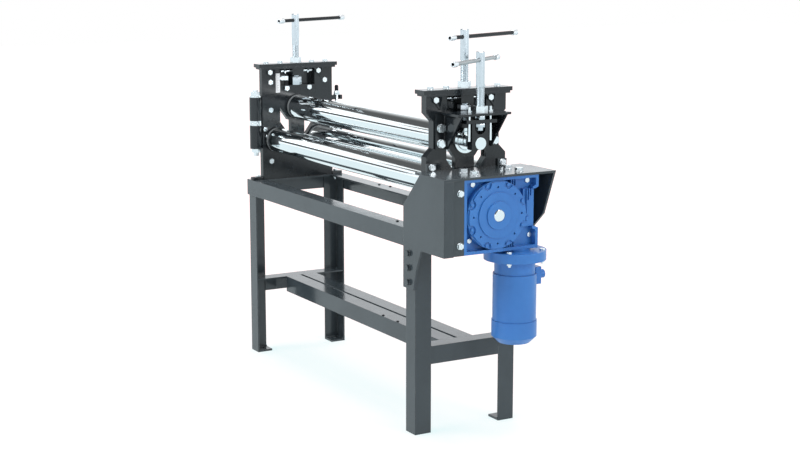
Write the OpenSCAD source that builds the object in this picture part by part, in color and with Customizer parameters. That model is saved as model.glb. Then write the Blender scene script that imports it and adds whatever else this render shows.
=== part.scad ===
// Motor-driven three-roll slip roll on an angle-iron stand.
// The origin is on the floor, in the middle of the four foot holes.
// +X runs along the rolls towards the gearmotor, +Y to the back, +Z up.

/* [Stand] */
// Length of the stand over its legs
stand_l = 1346; // [1100:2:1800]
// Width of the stand over its legs
stand_w = 404; // [390:2:440]
// Height of the top of the upper rails
rail_top = 718; // [600:2:800]
// Height of the top of the lower crossbars
crossbar_top = 308; // [200:2:420]
// Leg width of the angle iron
angle_w = 63; // [55:1:68]
// Wall of the angle iron
angle_t = 6; // [4:0.5:8]
// Thickness of the foot plates
foot_t = 8; // [5:1:14]
// Diameter of the anchor holes in the feet
foot_hole_d = 14; // [9:0.5:18]
// Gap between the two lower rails
low_rail_gap = 12; // [6:1:30]

/* [Rolls] */
// Diameter of the three rolls
roll_d = 100; // [80:1:110]
// Height of the axes of the two driven rolls above the upper rails
low_roll_rise = 160; // [150:1:180]
// Distance between the axes of the two driven rolls
low_roll_pitch = 190; // [180:1:212]
// Height of the raised top roll's axis above those of the driven rolls
top_roll_rise = 131; // [126:1:140]
// Distance that the adjusting screws lower the top roll
top_travel = 54; // [30:1:60]
// Side play at each end of a roll
roll_end_gap = 2; // [1:0.5:4]
// Diameter of the journals of the driven rolls
low_journal_d = 45; // [35:1:50]
// Diameter of the top roll's left journal, which the drop end slips over
top_left_journal_d = 40; // [30:1:44]
// Diameter of the top roll's right journal
top_right_journal_d = 66; // [58:1:70]
// Diameter of the tail of the top roll
tail_d = 42; // [36:1:46]
// Diameter of the tail's neck in its block
tail_neck_d = 26; // [20:1:28]

/* [End housings] */
// Distance from the stand's left end to the left housing's inner face
left_inset = 45; // [40:1:56]
// Distance from the stand's right end to the right housing's inner face
right_inset = 36; // [34:1:40]
// Width of both housings
housing_w = 318; // [300:1:330]
// Thickness of the left housing plate
left_plate_t = 25; // [22:1:28]
// Thickness of the right housing plate
right_plate_t = 32; // [26:1:34]
// Height of the plates' top edge above the raised top roll's axis
housing_rise = 157; // [150:1:180]
// Gap between the fixed plate and the drop end
split_gap = 1; // [0.5:0.5:3]
// Width of the window that the carriages slide in
window_w = 158; // [152:1:164]
// Width of the right housing at its waist
waist_w = 262; // [250:1:280]
// Thickness of the cap plates
cap_t = 14; // [10:1:20]
// Length of the cap plates
cap_l = 352; // [340:1:370]
// Overhang of the cap plates past the housing faces
cap_overhang = 15; // [15:1:20]
// Thickness of the flange below each cap
flange_t = 8; // [6:1:12]

/* [Adjusting screws] */
// Diameter of the three adjusting screws
screw_d = 30; // [24:1:33]
// Height of the two main screws above their caps
screw_rise = 198; // [170:1:240]
// Distance from the main screws' top end to their T-bars
bar_drop = 26; // [20:1:40]
// Diameter of the T-bars
bar_d = 14; // [8:0.5:15]
// Length of the two main T-bars with their knobs
bar_l = 416; // [300:2:430]
// Angle of the two main T-bars from the front-to-back line
bar_turn = 24; // [0:0.5:60]
// Diameter of the knobs on the T-bars
knob_d = 20; // [17:0.5:22]
// Height of the tail screw above its shelf
tail_screw_rise = 204; // [180:1:215]
// Distance from the tail screw's top end to its T-bar
tail_bar_drop = 28; // [20:1:40]
// Length of the tail T-bar with its knobs
tail_bar_l = 384; // [300:2:400]
// Angle of the tail T-bar from the front-to-back line
tail_bar_turn = 34.7; // [0:0.1:60]

/* [Drop end hinge and latch] */
// Outer diameter of the hinge barrels
barrel_d = 50; // [44:1:54]
// Length of each hinge barrel
barrel_l = 94; // [70:1:110]
// Diameter of the hinge pin
hinge_pin_d = 20; // [16:1:24]
// Diameter of the swing bolt of the latch
latch_d = 16; // [12:1:18]

/* [Drive] */
// Pitch diameter of the gear on the gearmotor's shaft
pitch_d = 222; // [221:0.5:224]
// Teeth of the gear on the gearmotor's shaft
drive_teeth = 74; // [72:2:76]
// Teeth of the gears on the driven rolls
roll_teeth = 16; // [15:1:16]
// Face width of the gears
gear_w = 25; // [16:1:28]
// Backlash of the gears along the pitch circle
backlash_gap = 0.3; // [0.2:0.05:0.5]
// Diameter of the drive shaft
shaft_d = 42; // [36:1:46]

/* [Console and gearmotor] */
// Height of the top of the console above the driven rolls' axes
console_rise = 38; // [36:1:44]
// Wall of the console's plates
console_t = 8; // [5:0.5:9]
// Distance from the right housing's outer face to the gearbox
mount_reach = 62; // [60:1:71]
// Distance from the gearbox's rear face to the console's outer end
console_reach = 139; // [136:1:160]
// Width of the gearbox housing, front to back
gearbox_w = 295; // [280:1:300]
// Height of the gearbox housing
gearbox_h = 252; // [245:1:284]
// Depth of the gearbox housing along the shaft
gearbox_d = 130; // [120:1:132]
// Centre distance between the output shaft and the worm
worm_offset = 110; // [100:1:116]
// Diameter of the motor's flange
motor_flange_d = 214; // [190:2:220]
// Diameter of the motor's body
motor_d = 150; // [130:2:160]
// Length of the motor below its flange
motor_l = 289; // [240:1:340]

/* [Fits] */
// Radial running clearance of shafts, screws and pins
run_gap = 0.06; // [0.03:0.01:0.09]
// Clearance of the sliding carriages
slide_gap = 0.4; // [0.2:0.1:0.8]
// Clearance of plates and collars that face each other
face_gap = 0.3; // [0.2:0.1:0.5]
// Radial clearance of bolts in their holes
bolt_gap = 0.5; // [0.3:0.1:0.8]

/* [Hidden] */
$fn = 48;
// Overrun of every cut
over = 1;
// Bolt proportions, as shares of the bolt's diameter
head_share = 0.65;
af_share = 1.6;
washer_share = 1.9;
washer_t_share = 0.18;
// Bolt sizes
frame_bolt_d = 12;
housing_bolt_d = 12;
bracket_bolt_d = 16;
top_bolt_d = 16;
mount_bolt_d = 10;
ear_bolt_d = 12;
clamp_bolt_d = 12;
foot_bolt_d = 8;
flange_bolt_d = 10;
bolt_tail_l = 6;

// Stand
leg_top = rail_top - angle_t;
rail_low = rail_top - angle_w;
half_l = stand_l / 2;
half_w = stand_w / 2;
foot_x = half_l - (angle_w + angle_t) / 2;
foot_y = half_w - (angle_w + angle_t) / 2;
console_low_x = half_l - angle_w - angle_t;

// Heights of the rolls
low_roll_z = rail_top + low_roll_rise;
top_roll_z = low_roll_z + top_roll_rise;

// Housings: both share the slot, the window and the cap
half_h = housing_w / 2;
half_win = window_w / 2;
half_waist = waist_w / 2;
left_face_x = half_l - left_inset;
right_face_x = half_l - right_inset;
left_x0 = -left_face_x - left_plate_t;
right_x1 = right_face_x + right_plate_t;
left_mid_x = left_x0 + left_plate_t / 2;
right_mid_x = right_face_x + right_plate_t / 2;
housing_top = top_roll_z + housing_rise;
housing_foot_t = 10;
foot_bolt_y = 128;
rail_out = half_l + angle_t;
rail_in = rail_out - angle_w;
flange_inset = 9;
flange_l = cap_l - 2 * flange_inset;
cap_low = housing_top + flange_t;
cap_top = cap_low + cap_t;

// Carriages: their sloping shoulders match the V below them at the end of the travel
shoulder_half = 42;
shoulder_h = 51;
shoulder_drop = 1;
v_gap = 4;
carriage_rise = 89;
stem_drop = 117;
stem_chamfer = 3;
carriage_shoulder_z = top_roll_z - shoulder_drop;
carriage_top = top_roll_z + carriage_rise;
stem_low = top_roll_z - stem_drop;
v_low_z = carriage_shoulder_z - shoulder_h - top_travel - v_gap;
split_z = v_low_z + shoulder_h;
left_stem_w = 60;
right_stem_w = 76;
slot_gap = 3;
slot_low = stem_low - top_travel - slot_gap;
tongue_t = 8;
tongue_d = 6;

// Hourglass of the right housing
waist_rise = 12;
waist_drop = 56;
waist_slope_h = 28;
waist_low = split_z + waist_rise;
waist_high = housing_top - waist_drop;

// Nut block below the cap and lock nut above it
block_w = 50;
block_x = 44;
block_h = 36;
block_low = cap_low - block_h;
lock_af = 40;
lock_h = 23;
clamp_z = cap_low - block_h / 2;
clamp_inset = 9;
clamp_end = half_win - clamp_inset;
jam_t = 8;
jam_y = 48;

// Screws: the collar stands on the carriage, the button hangs in its T-slot
screw_top = cap_top + screw_rise;
bar_z = screw_top - bar_drop;
collar_af = 40;
collar_gap = 6;
collar_h = block_low - carriage_top - collar_gap;
neck_d = 16;
neck_l = 14;
button_d = 22;
button_h = 10;
screw_chamfer = 2;
knob_l = 28;
left_bar_slide = 106;
right_bar_slide = 120;
tail_bar_slide = -38;
bar_hole_gap = 0.25;

// Guard behind the screw's collar
guard_t = 3;
guard_room = 1;
guard_drop = 14;
guard_side = 16;
guard_reach = collar_af / cos(30) / 2 + guard_room + guard_t;
guard_low = carriage_top - guard_drop;

// Angle brackets and bolts below and on the caps
bracket_side = 30;
bracket_y = half_win + bracket_side;
bracket_h = 46;
bracket_leg = 34;
bracket_t = 8;
bracket_bolt_side = 17;
bracket_bolt_drop = 12;
bracket_bolt_z = housing_top - bracket_bolt_drop;
cap_bolt_inset = 42;
cap_bolt_step = 62;
cap_bolt_out = cap_l / 2 - cap_bolt_inset;
cap_bolt_in = cap_bolt_out - cap_bolt_step;

// Hinge and latch, in line with the middle of the left plate
barrel_bite = 1;
hinge_y = -half_h - barrel_d / 2 + barrel_bite;
barrel_spacing = 20;
ring_t = (barrel_spacing - face_gap) / 2;
ring_d = barrel_d - 2 * barrel_bite - 2 * face_gap;
barrel_low_top = split_z - barrel_spacing / 2 + split_gap / 2;
barrel_up_low = barrel_low_top + barrel_spacing;
barrel_web_t = 14;
pin_nut_h = 16;
pin_washer_t = 6;
pin_end_l = 14;
latch_reach = 28;
latch_lug_l = 48;
latch_drop = 38;
latch_rise = 80;
latch_y = half_h + latch_reach;
latch_lug_y = half_h + latch_lug_l;
latch_pivot_z = split_z - latch_drop;
latch_lug_z = split_z + latch_rise;
latch_lug_h = 18;
latch_eye_t = latch_d;
latch_eye_d = 34;
latch_ear_t = 9;
latch_ear_y = (latch_eye_t + latch_ear_t) / 2 + face_gap;
latch_pin_d = 12;
latch_top_l = 36;
latch_ring_d = 30;
latch_ring_t = 7;
latch_gap = 1.5;

// Tail: shelf bracket, rods, yoke and block
tail_reach = 84;
tail_x = right_x1 + tail_reach;
shelf_tip = 31;
shelf_end_x = tail_x + shelf_tip;
shelf_drop = 53;
shelf_top = housing_top - shelf_drop;
shelf_t = 8;
shelf_low = shelf_top - shelf_t;
shelf_half = 105;
gusset_y = 87.5;
gusset_t = 7;
gusset_h = 117;
gusset_low = shelf_low - gusset_h;
gusset_foot = 20;
bracket_flange_t = 8;
bracket_flange_w = 42;
tail_bolt_y = 107;
tail_bolt_drop = 46;
tail_bolt_step = 52;
shelf_notch_half = 34;
shelf_notch_gap = 6;
shelf_notch_x = right_mid_x + lock_af / 2 + shelf_notch_gap;
yoke_t = 12;
yoke_drop = 27;
yoke_low = shelf_low - yoke_drop;
yoke_top = yoke_low + yoke_t;
yoke_half = 60;
yoke_back = 28;
yoke_front = 13;
rod_y = 42;
rod_d = 9;
rod_end = 6;
rod_tip = 12;
rod_nut_h = 8;
rod_low = yoke_low - top_travel - rod_end;
rod_top = shelf_top + rod_nut_h + rod_tip;
tail_block_back = 26;
tail_block_t = 30;
tail_block_w = 66;
tail_block_drop = 21;
tail_block_x0 = tail_x - tail_block_back;
tail_block_x1 = tail_block_x0 + tail_block_t;
notch_w = 42;
notch_rise = 52;
notch_z = top_roll_z + notch_rise;
tail_screw_top = shelf_top + tail_screw_rise;
tail_bar_z = tail_screw_top - tail_bar_drop;
tail_collar_af = 32;
tail_end_d = 22;
tail_end_l = 13;
tail_disc_t = 3;
tail_nut_af = 46;
tail_nut_h = 23;

// Bearings of the rolls
bush_wall = 9;
top_bush_wall = 10;
bearing_wall = 8;
right_carriage_back = 10;
right_carriage_t = right_plate_t - right_carriage_back;
ring_seat_d = top_right_journal_d + 2 * bearing_wall;
right_ring_w = 2;
right_ring_t = 6;
drop_bush_gap = 0.6;
nose_l = 9;
nose_drop = 4;
roll_chamfer = 3;

// Drive
gear_m = pitch_d / drive_teeth;
gear_gap = 15;
gear_x0 = right_x1 + gear_gap;
gear_x1 = gear_x0 + gear_w;
gear_centre = (pitch_d + gear_m * roll_teeth) / 2;
shaft_z = low_roll_z - sqrt(pow(gear_centre, 2) - pow(low_roll_pitch / 2, 2));
press_angle = 20;
addendum_share = 1;
dedendum_share = 1.25;
flank_steps = 4;
gear_rim_t = 12;
gear_hub_d = 70;
gear_web_t = 14;
gear_hole_d = 42;
gear_hole_r = 68;
gear_holes = 5;
roll_seat_d = 30;
roll_hub_d = 38;
roll_hub_l = 10;
pilot_d = 32;

// Console
console_top = low_roll_z + console_rise;
mount_face_x = right_x1 + mount_reach;
console_end_x = mount_face_x + console_reach;
// The rear plate stands off its leg on a packing bar
pack_t = 22;
pack_w = 50;
rear_inner = half_w + pack_t;
console_corner_drop = 119;
console_corner_z = console_top - console_corner_drop;
console_corner_reach = 47;
console_corner_x = right_x1 + console_corner_reach;
console_low_drop = 403;
console_low_z = console_top - console_low_drop;
console_sweep = 18;
console_sweep_x = half_l + console_sweep;
console_sweep_rise = 73;
console_sweep_z = console_low_z + console_sweep_rise;
knee_back = 63;
knee_drop = 156;
leg_bolt_rise = 23;
leg_bolt_step = 50;
leg_bolt_x = half_l - angle_w / 2;
pack_h = 2 * (leg_bolt_rise + leg_bolt_step);
mount_hole_d = 70;
top_bolt_near = 24;
top_bolt_far = 93;
top_bolt_front = 66;
top_bolt_rear = 112;
top_bolt_depth = 26;
cleat_w = 24;
cleat_t = 8;
cleat_l = 36;
cleat_y = 142;
// Return flange at the front plate's end and the cleat welded behind it
return_w = 29;
ear_l = 20;
ear_w = 33;
ear_h = 40;
ear_bolt_y = 17;
ear_top_drop = 43;
ear_low_rise = 34;

// Gearbox: a frame round four deep pockets, with the core and the worm housing between them
box_near_share = 0.432;
box_near = gearbox_w * box_near_share;
box_far = gearbox_w - box_near;
box_up = console_top - console_t - shaft_z;
box_down = gearbox_h - box_up;
box_low_z = shaft_z - box_down;
box_face_x = mount_face_x + gearbox_d;
ear_face_x = console_end_x - 2 * console_t;
frame_t = 11;
pocket_l = 25;
pocket_x = gearbox_d - pocket_l;
lug_top_h = 48;
lug_low_h = 75;
lug_step = 12;
core_d = 224;
cover_seat = 10;
worm_face = 11;
worm_w = 56;
worm_ribs = [[33, 84], [24, 38], [15, 24]];
worm_rib_h = 7;
plug_d = 18;
plug_y = 25;
plug_z = 27;
plug_h = 5;
rib_t = 3;
rib_step = 9;
rib_y = 60;
rib_low_y = 46;
rib_l = 34;
rib_face = 6;
mount_bolt_top = 21;
mount_bolt_low = 44;
mount_bolt_near_top = 45;
mount_bolt_near_low = 33;
mount_bolt_far_top = 33;
mount_bolt_far_low = 22;

// Cover of the gearbox
cover_d = 232;
cover_t = 12;
scallop_d = 224;
scallop_h = 6;
notch_r = 17;
screw_head_d = 12;
screw_head_inset = 8;
screw_head_h = 6;
tapped_r = 95;
tapped_d = 7;
rim_d = 154;
rim_h = 5;
hub_rim_d = 94;
hub_rim_h = 5;
cover_bolts = 8;
shaft_tip = 20;
shaft_end_x = box_face_x + shaft_tip;

// Motor, hung from the worm housing
motor_reach = 78;
motor_x = mount_face_x + motor_reach;
worm_boss_d = 104;
worm_boss_h = 8;
motor_flange_t = 33;
motor_flange_top = box_low_z - worm_boss_h;
motor_flange_low = motor_flange_top - motor_flange_t;
motor_bottom = motor_flange_low - motor_l;
neck_step = 5;
motor_neck_d = motor_d - 2 * neck_step;
motor_neck_l = 49;
motor_neck_low = motor_flange_low - motor_neck_l;
cowl_step = 3;
cowl_d = motor_d + 2 * cowl_step;
cowl_h = 78;
cowl_chamfer = 22;
flange_bolt_inset = 13;
gland_drop = 15;
gland_z = motor_neck_low - gland_drop;
gland_box_w = 44;
gland_box_h = 60;
gland_box_d = 30;
gland_d = 30;
gland_l = 22;

// Scale, pointer and face bolts of the left end
scale_w = 19;
scale_h = 78;
scale_t = 2;
scale_drop = 96;
scale_low = housing_top - scale_drop;
pointer_w = 16;
pointer_t = 4;
pointer_drop = 20;
pointer_rise = 38;
pointer_low = carriage_top - pointer_drop;
pointer_top = carriage_top + pointer_rise;
pointer_tip = 44;
carriage_bolt_y = 52;
carriage_bolt_drop = 10;
carriage_bolt_z = carriage_top - carriage_bolt_drop;
gate_bolt_side = 44;
gate_bolt_y = half_win + gate_bolt_side;
gate_bolt_rise = 51;
gate_bolt_drop = 52;
lower_bolt_drop = 86;
left_lower_bolt_z = low_roll_z - lower_bolt_drop;

STEEL = "silver";
DARK = "dimgray";
BLACK = "#2b2e31";
BLUE = "steelblue";

// Shared shapes

// Box between two corners
module block(a, b) {
    translate(a) cube(b - a);
}

// Turns a shape that is drawn in a Y-Z plane and raised in Z to stand along X
module along_x() {
    rotate([90, 0, 90]) children();
}

// Turns +Z of a shape to +X, -Y or +Y
module facing_x() {
    rotate([0, 90, 0]) children();
}
module facing_front() {
    rotate([90, 0, 0]) children();
}
module facing_back() {
    rotate([-90, 0, 0]) children();
}

// Hexagon prism by its width across flats
module hex(af, h) {
    cylinder(d = af / cos(30), h = h, $fn = 6);
}

// Hexagon nut with a bore
module nut(af, h, bore) {
    difference() {
        hex(af, h);
        translate([0, 0, -over]) cylinder(d = bore, h = h + 2 * over);
    }
}

// Bolt with its seat at Z = 0, a hexagon head above it and a shank of length l
module bolt(d, l, washer = true) {
    rise = washer ? d * washer_t_share : 0;
    if (washer) cylinder(d = d * washer_share, h = rise);
    translate([0, 0, rise]) hex(d * af_share, d * head_share);
    translate([0, 0, -l]) cylinder(d = d, h = l + rise);
}

// Bolt through a thickness t, with a nut on its far side
module through_bolt(d, t, washer = true) {
    bolt(d, t + d * head_share + bolt_tail_l, washer);
    translate([0, 0, -t - d * head_share]) hex(d * af_share, d * head_share);
}

// Hole for a bolt through a thickness t below Z = 0
module bolt_hole(d, t) {
    translate([0, 0, -t - over]) cylinder(d = d + 2 * bolt_gap, h = t + 2 * over);
}

// Stand

// Leg at the corner with signs sx and sy: angle iron with a foot plate
module leg(sx, sy) {
    color(DARK) mirror([sx > 0 ? 1 : 0, 0, 0]) mirror([0, sy > 0 ? 1 : 0, 0])
        translate([-half_l, -half_w, 0]) difference() {
            union() {
                cube([angle_w, angle_t, leg_top]);
                cube([angle_t, angle_w, leg_top]);
                cube([angle_w, angle_w, foot_t]);
            }
            translate([half_l - foot_x, half_w - foot_y, -over])
                cylinder(d = foot_hole_d, h = foot_t + 2 * over);
            if (sx > 0) leg_holes();
        }
}

// Holes for the console's bolts in a right leg, in the leg's corner frame
module leg_holes() {
    for (i = [0:2])
        translate([angle_w / 2, 0, console_low_z + leg_bolt_rise + i * leg_bolt_step])
            facing_front() bolt_hole(frame_bolt_d, angle_t);
}

// Long upper rail: angle iron welded outside the left legs, notched over the right ones
module long_rail(sy) {
    color(DARK) mirror([0, sy > 0 ? 1 : 0, 0]) {
        block([-half_l - angle_t, -half_w - angle_t, rail_low],
              [console_low_x - face_gap, -half_w, rail_top]);
        block([-half_l, -half_w - angle_t, leg_top],
              [console_low_x - face_gap, -half_w - angle_t + angle_w, rail_top]);
        block([console_low_x - over, -half_w, leg_top],
              [half_l, -half_w - angle_t + angle_w, rail_top]);
    }
}

// Upper cross rail: outer flange past the legs, top flange between the long rails
module cross_rail(sx) {
    inner_half = half_w + angle_t - angle_w;
    color(DARK) difference() {
        mirror([sx > 0 ? 1 : 0, 0, 0]) {
            block([-rail_out, -half_w, rail_low], [-half_l, half_w, rail_top]);
            block([-rail_out, -inner_half, leg_top], [-rail_in, inner_half, rail_top]);
        }
        housing_foot_places(sx) bolt_hole(foot_bolt_d, housing_foot_t + angle_t);
    }
}

// Lower crossbar between the legs of one end
module crossbar(sx) {
    color(DARK) mirror([sx > 0 ? 1 : 0, 0, 0]) {
        block([-half_l, -half_w + angle_w, crossbar_top - angle_w],
              [-half_l + angle_t, half_w - angle_w, crossbar_top]);
        block([-half_l + angle_t, -half_w + angle_t, crossbar_top - angle_t],
              [-half_l + angle_w, half_w - angle_t, crossbar_top]);
    }
}

// Lower rail from crossbar to crossbar
module lower_rail(sy) {
    color(DARK) mirror([0, sy > 0 ? 1 : 0, 0]) {
        block([-half_l + angle_w, -low_rail_gap / 2 - angle_w, crossbar_top - angle_t],
              [half_l - angle_w, -low_rail_gap / 2, crossbar_top]);
        block([-half_l + angle_w, -low_rail_gap / 2 - angle_w, crossbar_top - angle_w],
              [half_l - angle_w, -low_rail_gap / 2 - angle_w + angle_t, crossbar_top]);
    }
}

// Bolts that hold the console to the right legs
module frame_bolts() {
    color(STEEL) {
        side_bolt_places(half_w) through_bolt(frame_bolt_d, console_t + angle_t);
        mirror([0, 1, 0]) side_bolt_places(rear_inner)
            through_bolt(frame_bolt_d, pack_t + console_t + angle_t);
    }
}

// End housings

// Places of the foot bolts: outside the left plate, inside the right one
module housing_foot_places(sx) {
    x = sx > 0 ? (rail_in + right_face_x) / 2 : (-rail_out + left_x0) / 2;
    for (y = [-foot_bolt_y, foot_bolt_y])
        translate([x, y, rail_top + housing_foot_t]) children();
}

// Lower half of a window: the V and the slot for the carriage's stem, from x0 to x1
module v_slot(x0, x1, stem_w) {
    half_slot = stem_w / 2 + slot_gap;
    translate([x0 - over, 0, 0]) along_x() linear_extrude(x1 - x0 + 2 * over) polygon([
        [-half_win, split_z + over], [-half_win, split_z],
        [-max(shoulder_half, half_slot), v_low_z], [-half_slot, v_low_z - slot_gap],
        [-half_slot, slot_low], [half_slot, slot_low],
        [half_slot, v_low_z - slot_gap], [max(shoulder_half, half_slot), v_low_z],
        [half_win, split_z], [half_win, split_z + over]
    ]);
}

// Upper half of a window with its side grooves, from x0 to x1
module window(x0, x1, z0, z1) {
    mid = (x0 + x1) / 2;
    groove = half_win + tongue_d + slide_gap;
    block([x0 - over, -half_win, z0], [x1 + over, half_win, z1]);
    block([mid - tongue_t / 2 - slide_gap, -groove, z0],
          [mid + tongue_t / 2 + slide_gap, groove, carriage_top + slot_gap]);
}

// Foot flange of a housing plate, from x0 to x1
module housing_foot(sx, x0, x1) {
    difference() {
        block([x0, -half_h, rail_top], [x1, half_h, rail_top + housing_foot_t]);
        housing_foot_places(sx) bolt_hole(foot_bolt_d, housing_foot_t);
    }
}

// Guard that closes the back of the window at x, clear of the collar of the screw at mid
module guard(mid, x) {
    difference() {
        block([mid - guard_reach, -half_win - guard_side, guard_low],
              [x, half_win + guard_side, cap_low - over]);
        block([mid - guard_reach + guard_t, -half_win, guard_low - over],
              [x + over, half_win, cap_low]);
    }
}

// Flange on top of a plate, with an opening round the nut block
module top_flange(x0, x1) {
    mid = (x0 + x1) / 2;
    difference() {
        block([x0 - cap_overhang, -flange_l / 2, housing_top],
              [x1 + cap_overhang, flange_l / 2, cap_low]);
        block([mid - block_x / 2 - bolt_gap, -block_w / 2 - bolt_gap, housing_top - over],
              [mid + block_x / 2 + bolt_gap, block_w / 2 + bolt_gap, cap_low + over]);
        cap_bolt_places(mid, cap_top) bolt_hole(housing_bolt_d, cap_t + flange_t);
    }
}

// Places of the cap bolts
module cap_bolt_places(mid, z) {
    for (y = [-cap_bolt_out, -cap_bolt_in, cap_bolt_in, cap_bolt_out])
        translate([mid, y, z]) children();
}

// Angle brackets below the flange, on the plate's face at x
module cap_brackets(x) {
    for (y = [-bracket_y, bracket_y]) {
        translate([x, y + bracket_t / 2, 0]) facing_front() linear_extrude(bracket_t) polygon([
            [0, housing_top], [cap_overhang, housing_top], [0, housing_top - bracket_h]
        ]);
        translate([x, y, 0]) along_x() linear_extrude(bracket_t / 2) polygon([
            [0, housing_top], [-bracket_leg, housing_top], [0, housing_top - bracket_h]
        ]);
    }
}

// Places of the bolts in the angle brackets
module bracket_bolt_places(x) {
    for (y = [-bracket_y, bracket_y])
        translate([x, y - bracket_bolt_side, bracket_bolt_z]) facing_x() children();
}

// Fixed lower plate of the left end, with its hinge barrel and latch ears
module left_housing() {
    color(BLACK) difference() {
        union() {
            block([left_x0, -half_h, rail_top], [-left_face_x, half_h, split_z - split_gap / 2]);
            housing_foot(-1, -rail_out, left_x0 + over);
            hinge_barrel(barrel_low_top - barrel_l);
            latch_ears();
        }
        v_slot(left_x0, -left_face_x, left_stem_w);
        translate([left_x0 - over, 0, 0]) low_roll_places()
            cylinder(d = low_journal_d + 2 * bush_wall, h = left_plate_t + 2 * over);
        hinge_bore(barrel_low_top - barrel_l);
        left_bolt_places() bolt_hole(housing_bolt_d, left_plate_t);
    }
}

// Places of the two bolts low on the left housing's face
module left_bolt_places() {
    for (y = [-gate_bolt_y, gate_bolt_y])
        translate([-left_face_x, y, left_lower_bolt_z]) facing_x() children();
}

module left_fasteners() {
    color(STEEL) {
        left_bolt_places() bolt(housing_bolt_d, left_plate_t, false);
        housing_foot_places(-1) bolt(foot_bolt_d, housing_foot_t + angle_t);
    }
}

// Axes of the two driven rolls, with +Z of the children along X
module low_roll_places() {
    for (y = [-low_roll_pitch / 2, low_roll_pitch / 2])
        translate([0, y, low_roll_z]) facing_x() children();
}

// Hinge barrel with the web that joins it to its plate
module hinge_barrel(z) {
    translate([left_mid_x, hinge_y, z]) cylinder(d = barrel_d, h = barrel_l);
    block([left_mid_x - barrel_web_t / 2, hinge_y, z],
          [left_mid_x + barrel_web_t / 2, -half_h + over, z + barrel_l]);
}
module hinge_bore(z) {
    translate([left_mid_x, hinge_y, z - over])
        cylinder(d = hinge_pin_d + 2 * run_gap, h = barrel_l + 2 * over);
}

// Two ears for the pivot of the swing bolt
module latch_ears() {
    low = latch_pivot_z - latch_eye_d;
    difference() {
        union() {
            block([left_x0, half_h - over, low],
                  [-left_face_x, latch_lug_y, latch_pivot_z - latch_eye_d / 2 - face_gap]);
            for (y = [latch_y - latch_ear_y, latch_y + latch_ear_y]) {
                translate([left_mid_x, y - latch_ear_t / 2, latch_pivot_z]) facing_back()
                    cylinder(d = latch_eye_d, h = latch_ear_t);
                block([left_x0, y - latch_ear_t / 2, low],
                      [-left_face_x, y + latch_ear_t / 2, latch_pivot_z]);
            }
        }
        translate([left_mid_x, latch_y, latch_pivot_z]) facing_back()
            translate([0, 0, -latch_eye_t / 2 - latch_ear_t - over])
                cylinder(d = latch_pin_d + 2 * run_gap,
                         h = latch_eye_t + 2 * latch_ear_t + 2 * over + 2 * face_gap);
    }
}

// Pin of the drop end with its rings, washers and nuts
module hinge_pin() {
    low = barrel_low_top - barrel_l;
    high = barrel_up_low + barrel_l;
    color(STEEL) translate([left_mid_x, hinge_y, 0]) {
        translate([0, 0, low - pin_nut_h - pin_end_l])
            cylinder(d = hinge_pin_d, h = high - low + 2 * pin_nut_h + 2 * pin_end_l);
        translate([0, 0, low - pin_nut_h]) hex(hinge_pin_d * af_share, pin_nut_h);
        for (i = [0, 1]) translate([0, 0, barrel_low_top + i * (ring_t + face_gap / 2)])
            cylinder(d = ring_d, h = ring_t);
        translate([0, 0, high + face_gap]) cylinder(d = ring_d, h = pin_washer_t);
        translate([0, 0, high + face_gap + pin_washer_t]) hex(hinge_pin_d * af_share, pin_nut_h);
    }
}

// Flanged bushes of the driven rolls and of the drive shaft's inner end
module lower_roll_bushes() {
    color("peru") {
        translate([left_x0, 0, 0]) low_roll_places() low_bush(left_plate_t, low_journal_d);
        translate([right_face_x, 0, 0]) low_roll_places() low_bush(right_plate_t, low_journal_d);
        translate([right_face_x, 0, shaft_z]) facing_x() low_bush(right_plate_t, pilot_d);
    }
}
module low_bush(l, d) {
    difference() {
        cylinder(d = d + 2 * bush_wall, h = l);
        translate([0, 0, -over]) cylinder(d = d + 2 * run_gap, h = l + 2 * over);
    }
}

// Right housing: one hourglass plate with the V, the window, the flange and the guard
module right_housing() {
    color(BLACK) difference() {
        union() {
            translate([right_face_x, 0, 0]) along_x() linear_extrude(right_plate_t) polygon([
                [-half_h, rail_top], [half_h, rail_top], [half_h, waist_low],
                [half_waist, waist_low + waist_slope_h], [half_waist, waist_high - waist_slope_h],
                [half_h, waist_high], [half_h, housing_top], [-half_h, housing_top],
                [-half_h, waist_high], [-half_waist, waist_high - waist_slope_h],
                [-half_waist, waist_low + waist_slope_h], [-half_h, waist_low]
            ]);
            housing_foot(1, rail_in, right_face_x + over);
            top_flange(right_face_x, right_x1);
            guard(right_mid_x, right_face_x);
            cap_brackets(right_x1);
        }
        v_slot(right_face_x, right_x1, right_stem_w);
        window(right_face_x, right_x1, split_z, housing_top);
        translate([right_face_x - over, 0, 0]) low_roll_places()
            cylinder(d = low_journal_d + 2 * bush_wall, h = right_plate_t + 2 * over);
        translate([right_face_x - over, 0, shaft_z]) facing_x()
            cylinder(d = pilot_d + 2 * bush_wall, h = right_plate_t + 2 * over);
        tail_bracket_places() bolt_hole(bracket_bolt_d, bracket_flange_t + right_plate_t);
        bracket_bolt_places(right_x1 + bracket_t / 2)
            bolt_hole(housing_bolt_d, right_plate_t + bracket_t / 2);
        cleat_places() bolt_hole(housing_bolt_d, cleat_t + right_plate_t);
    }
}

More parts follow.
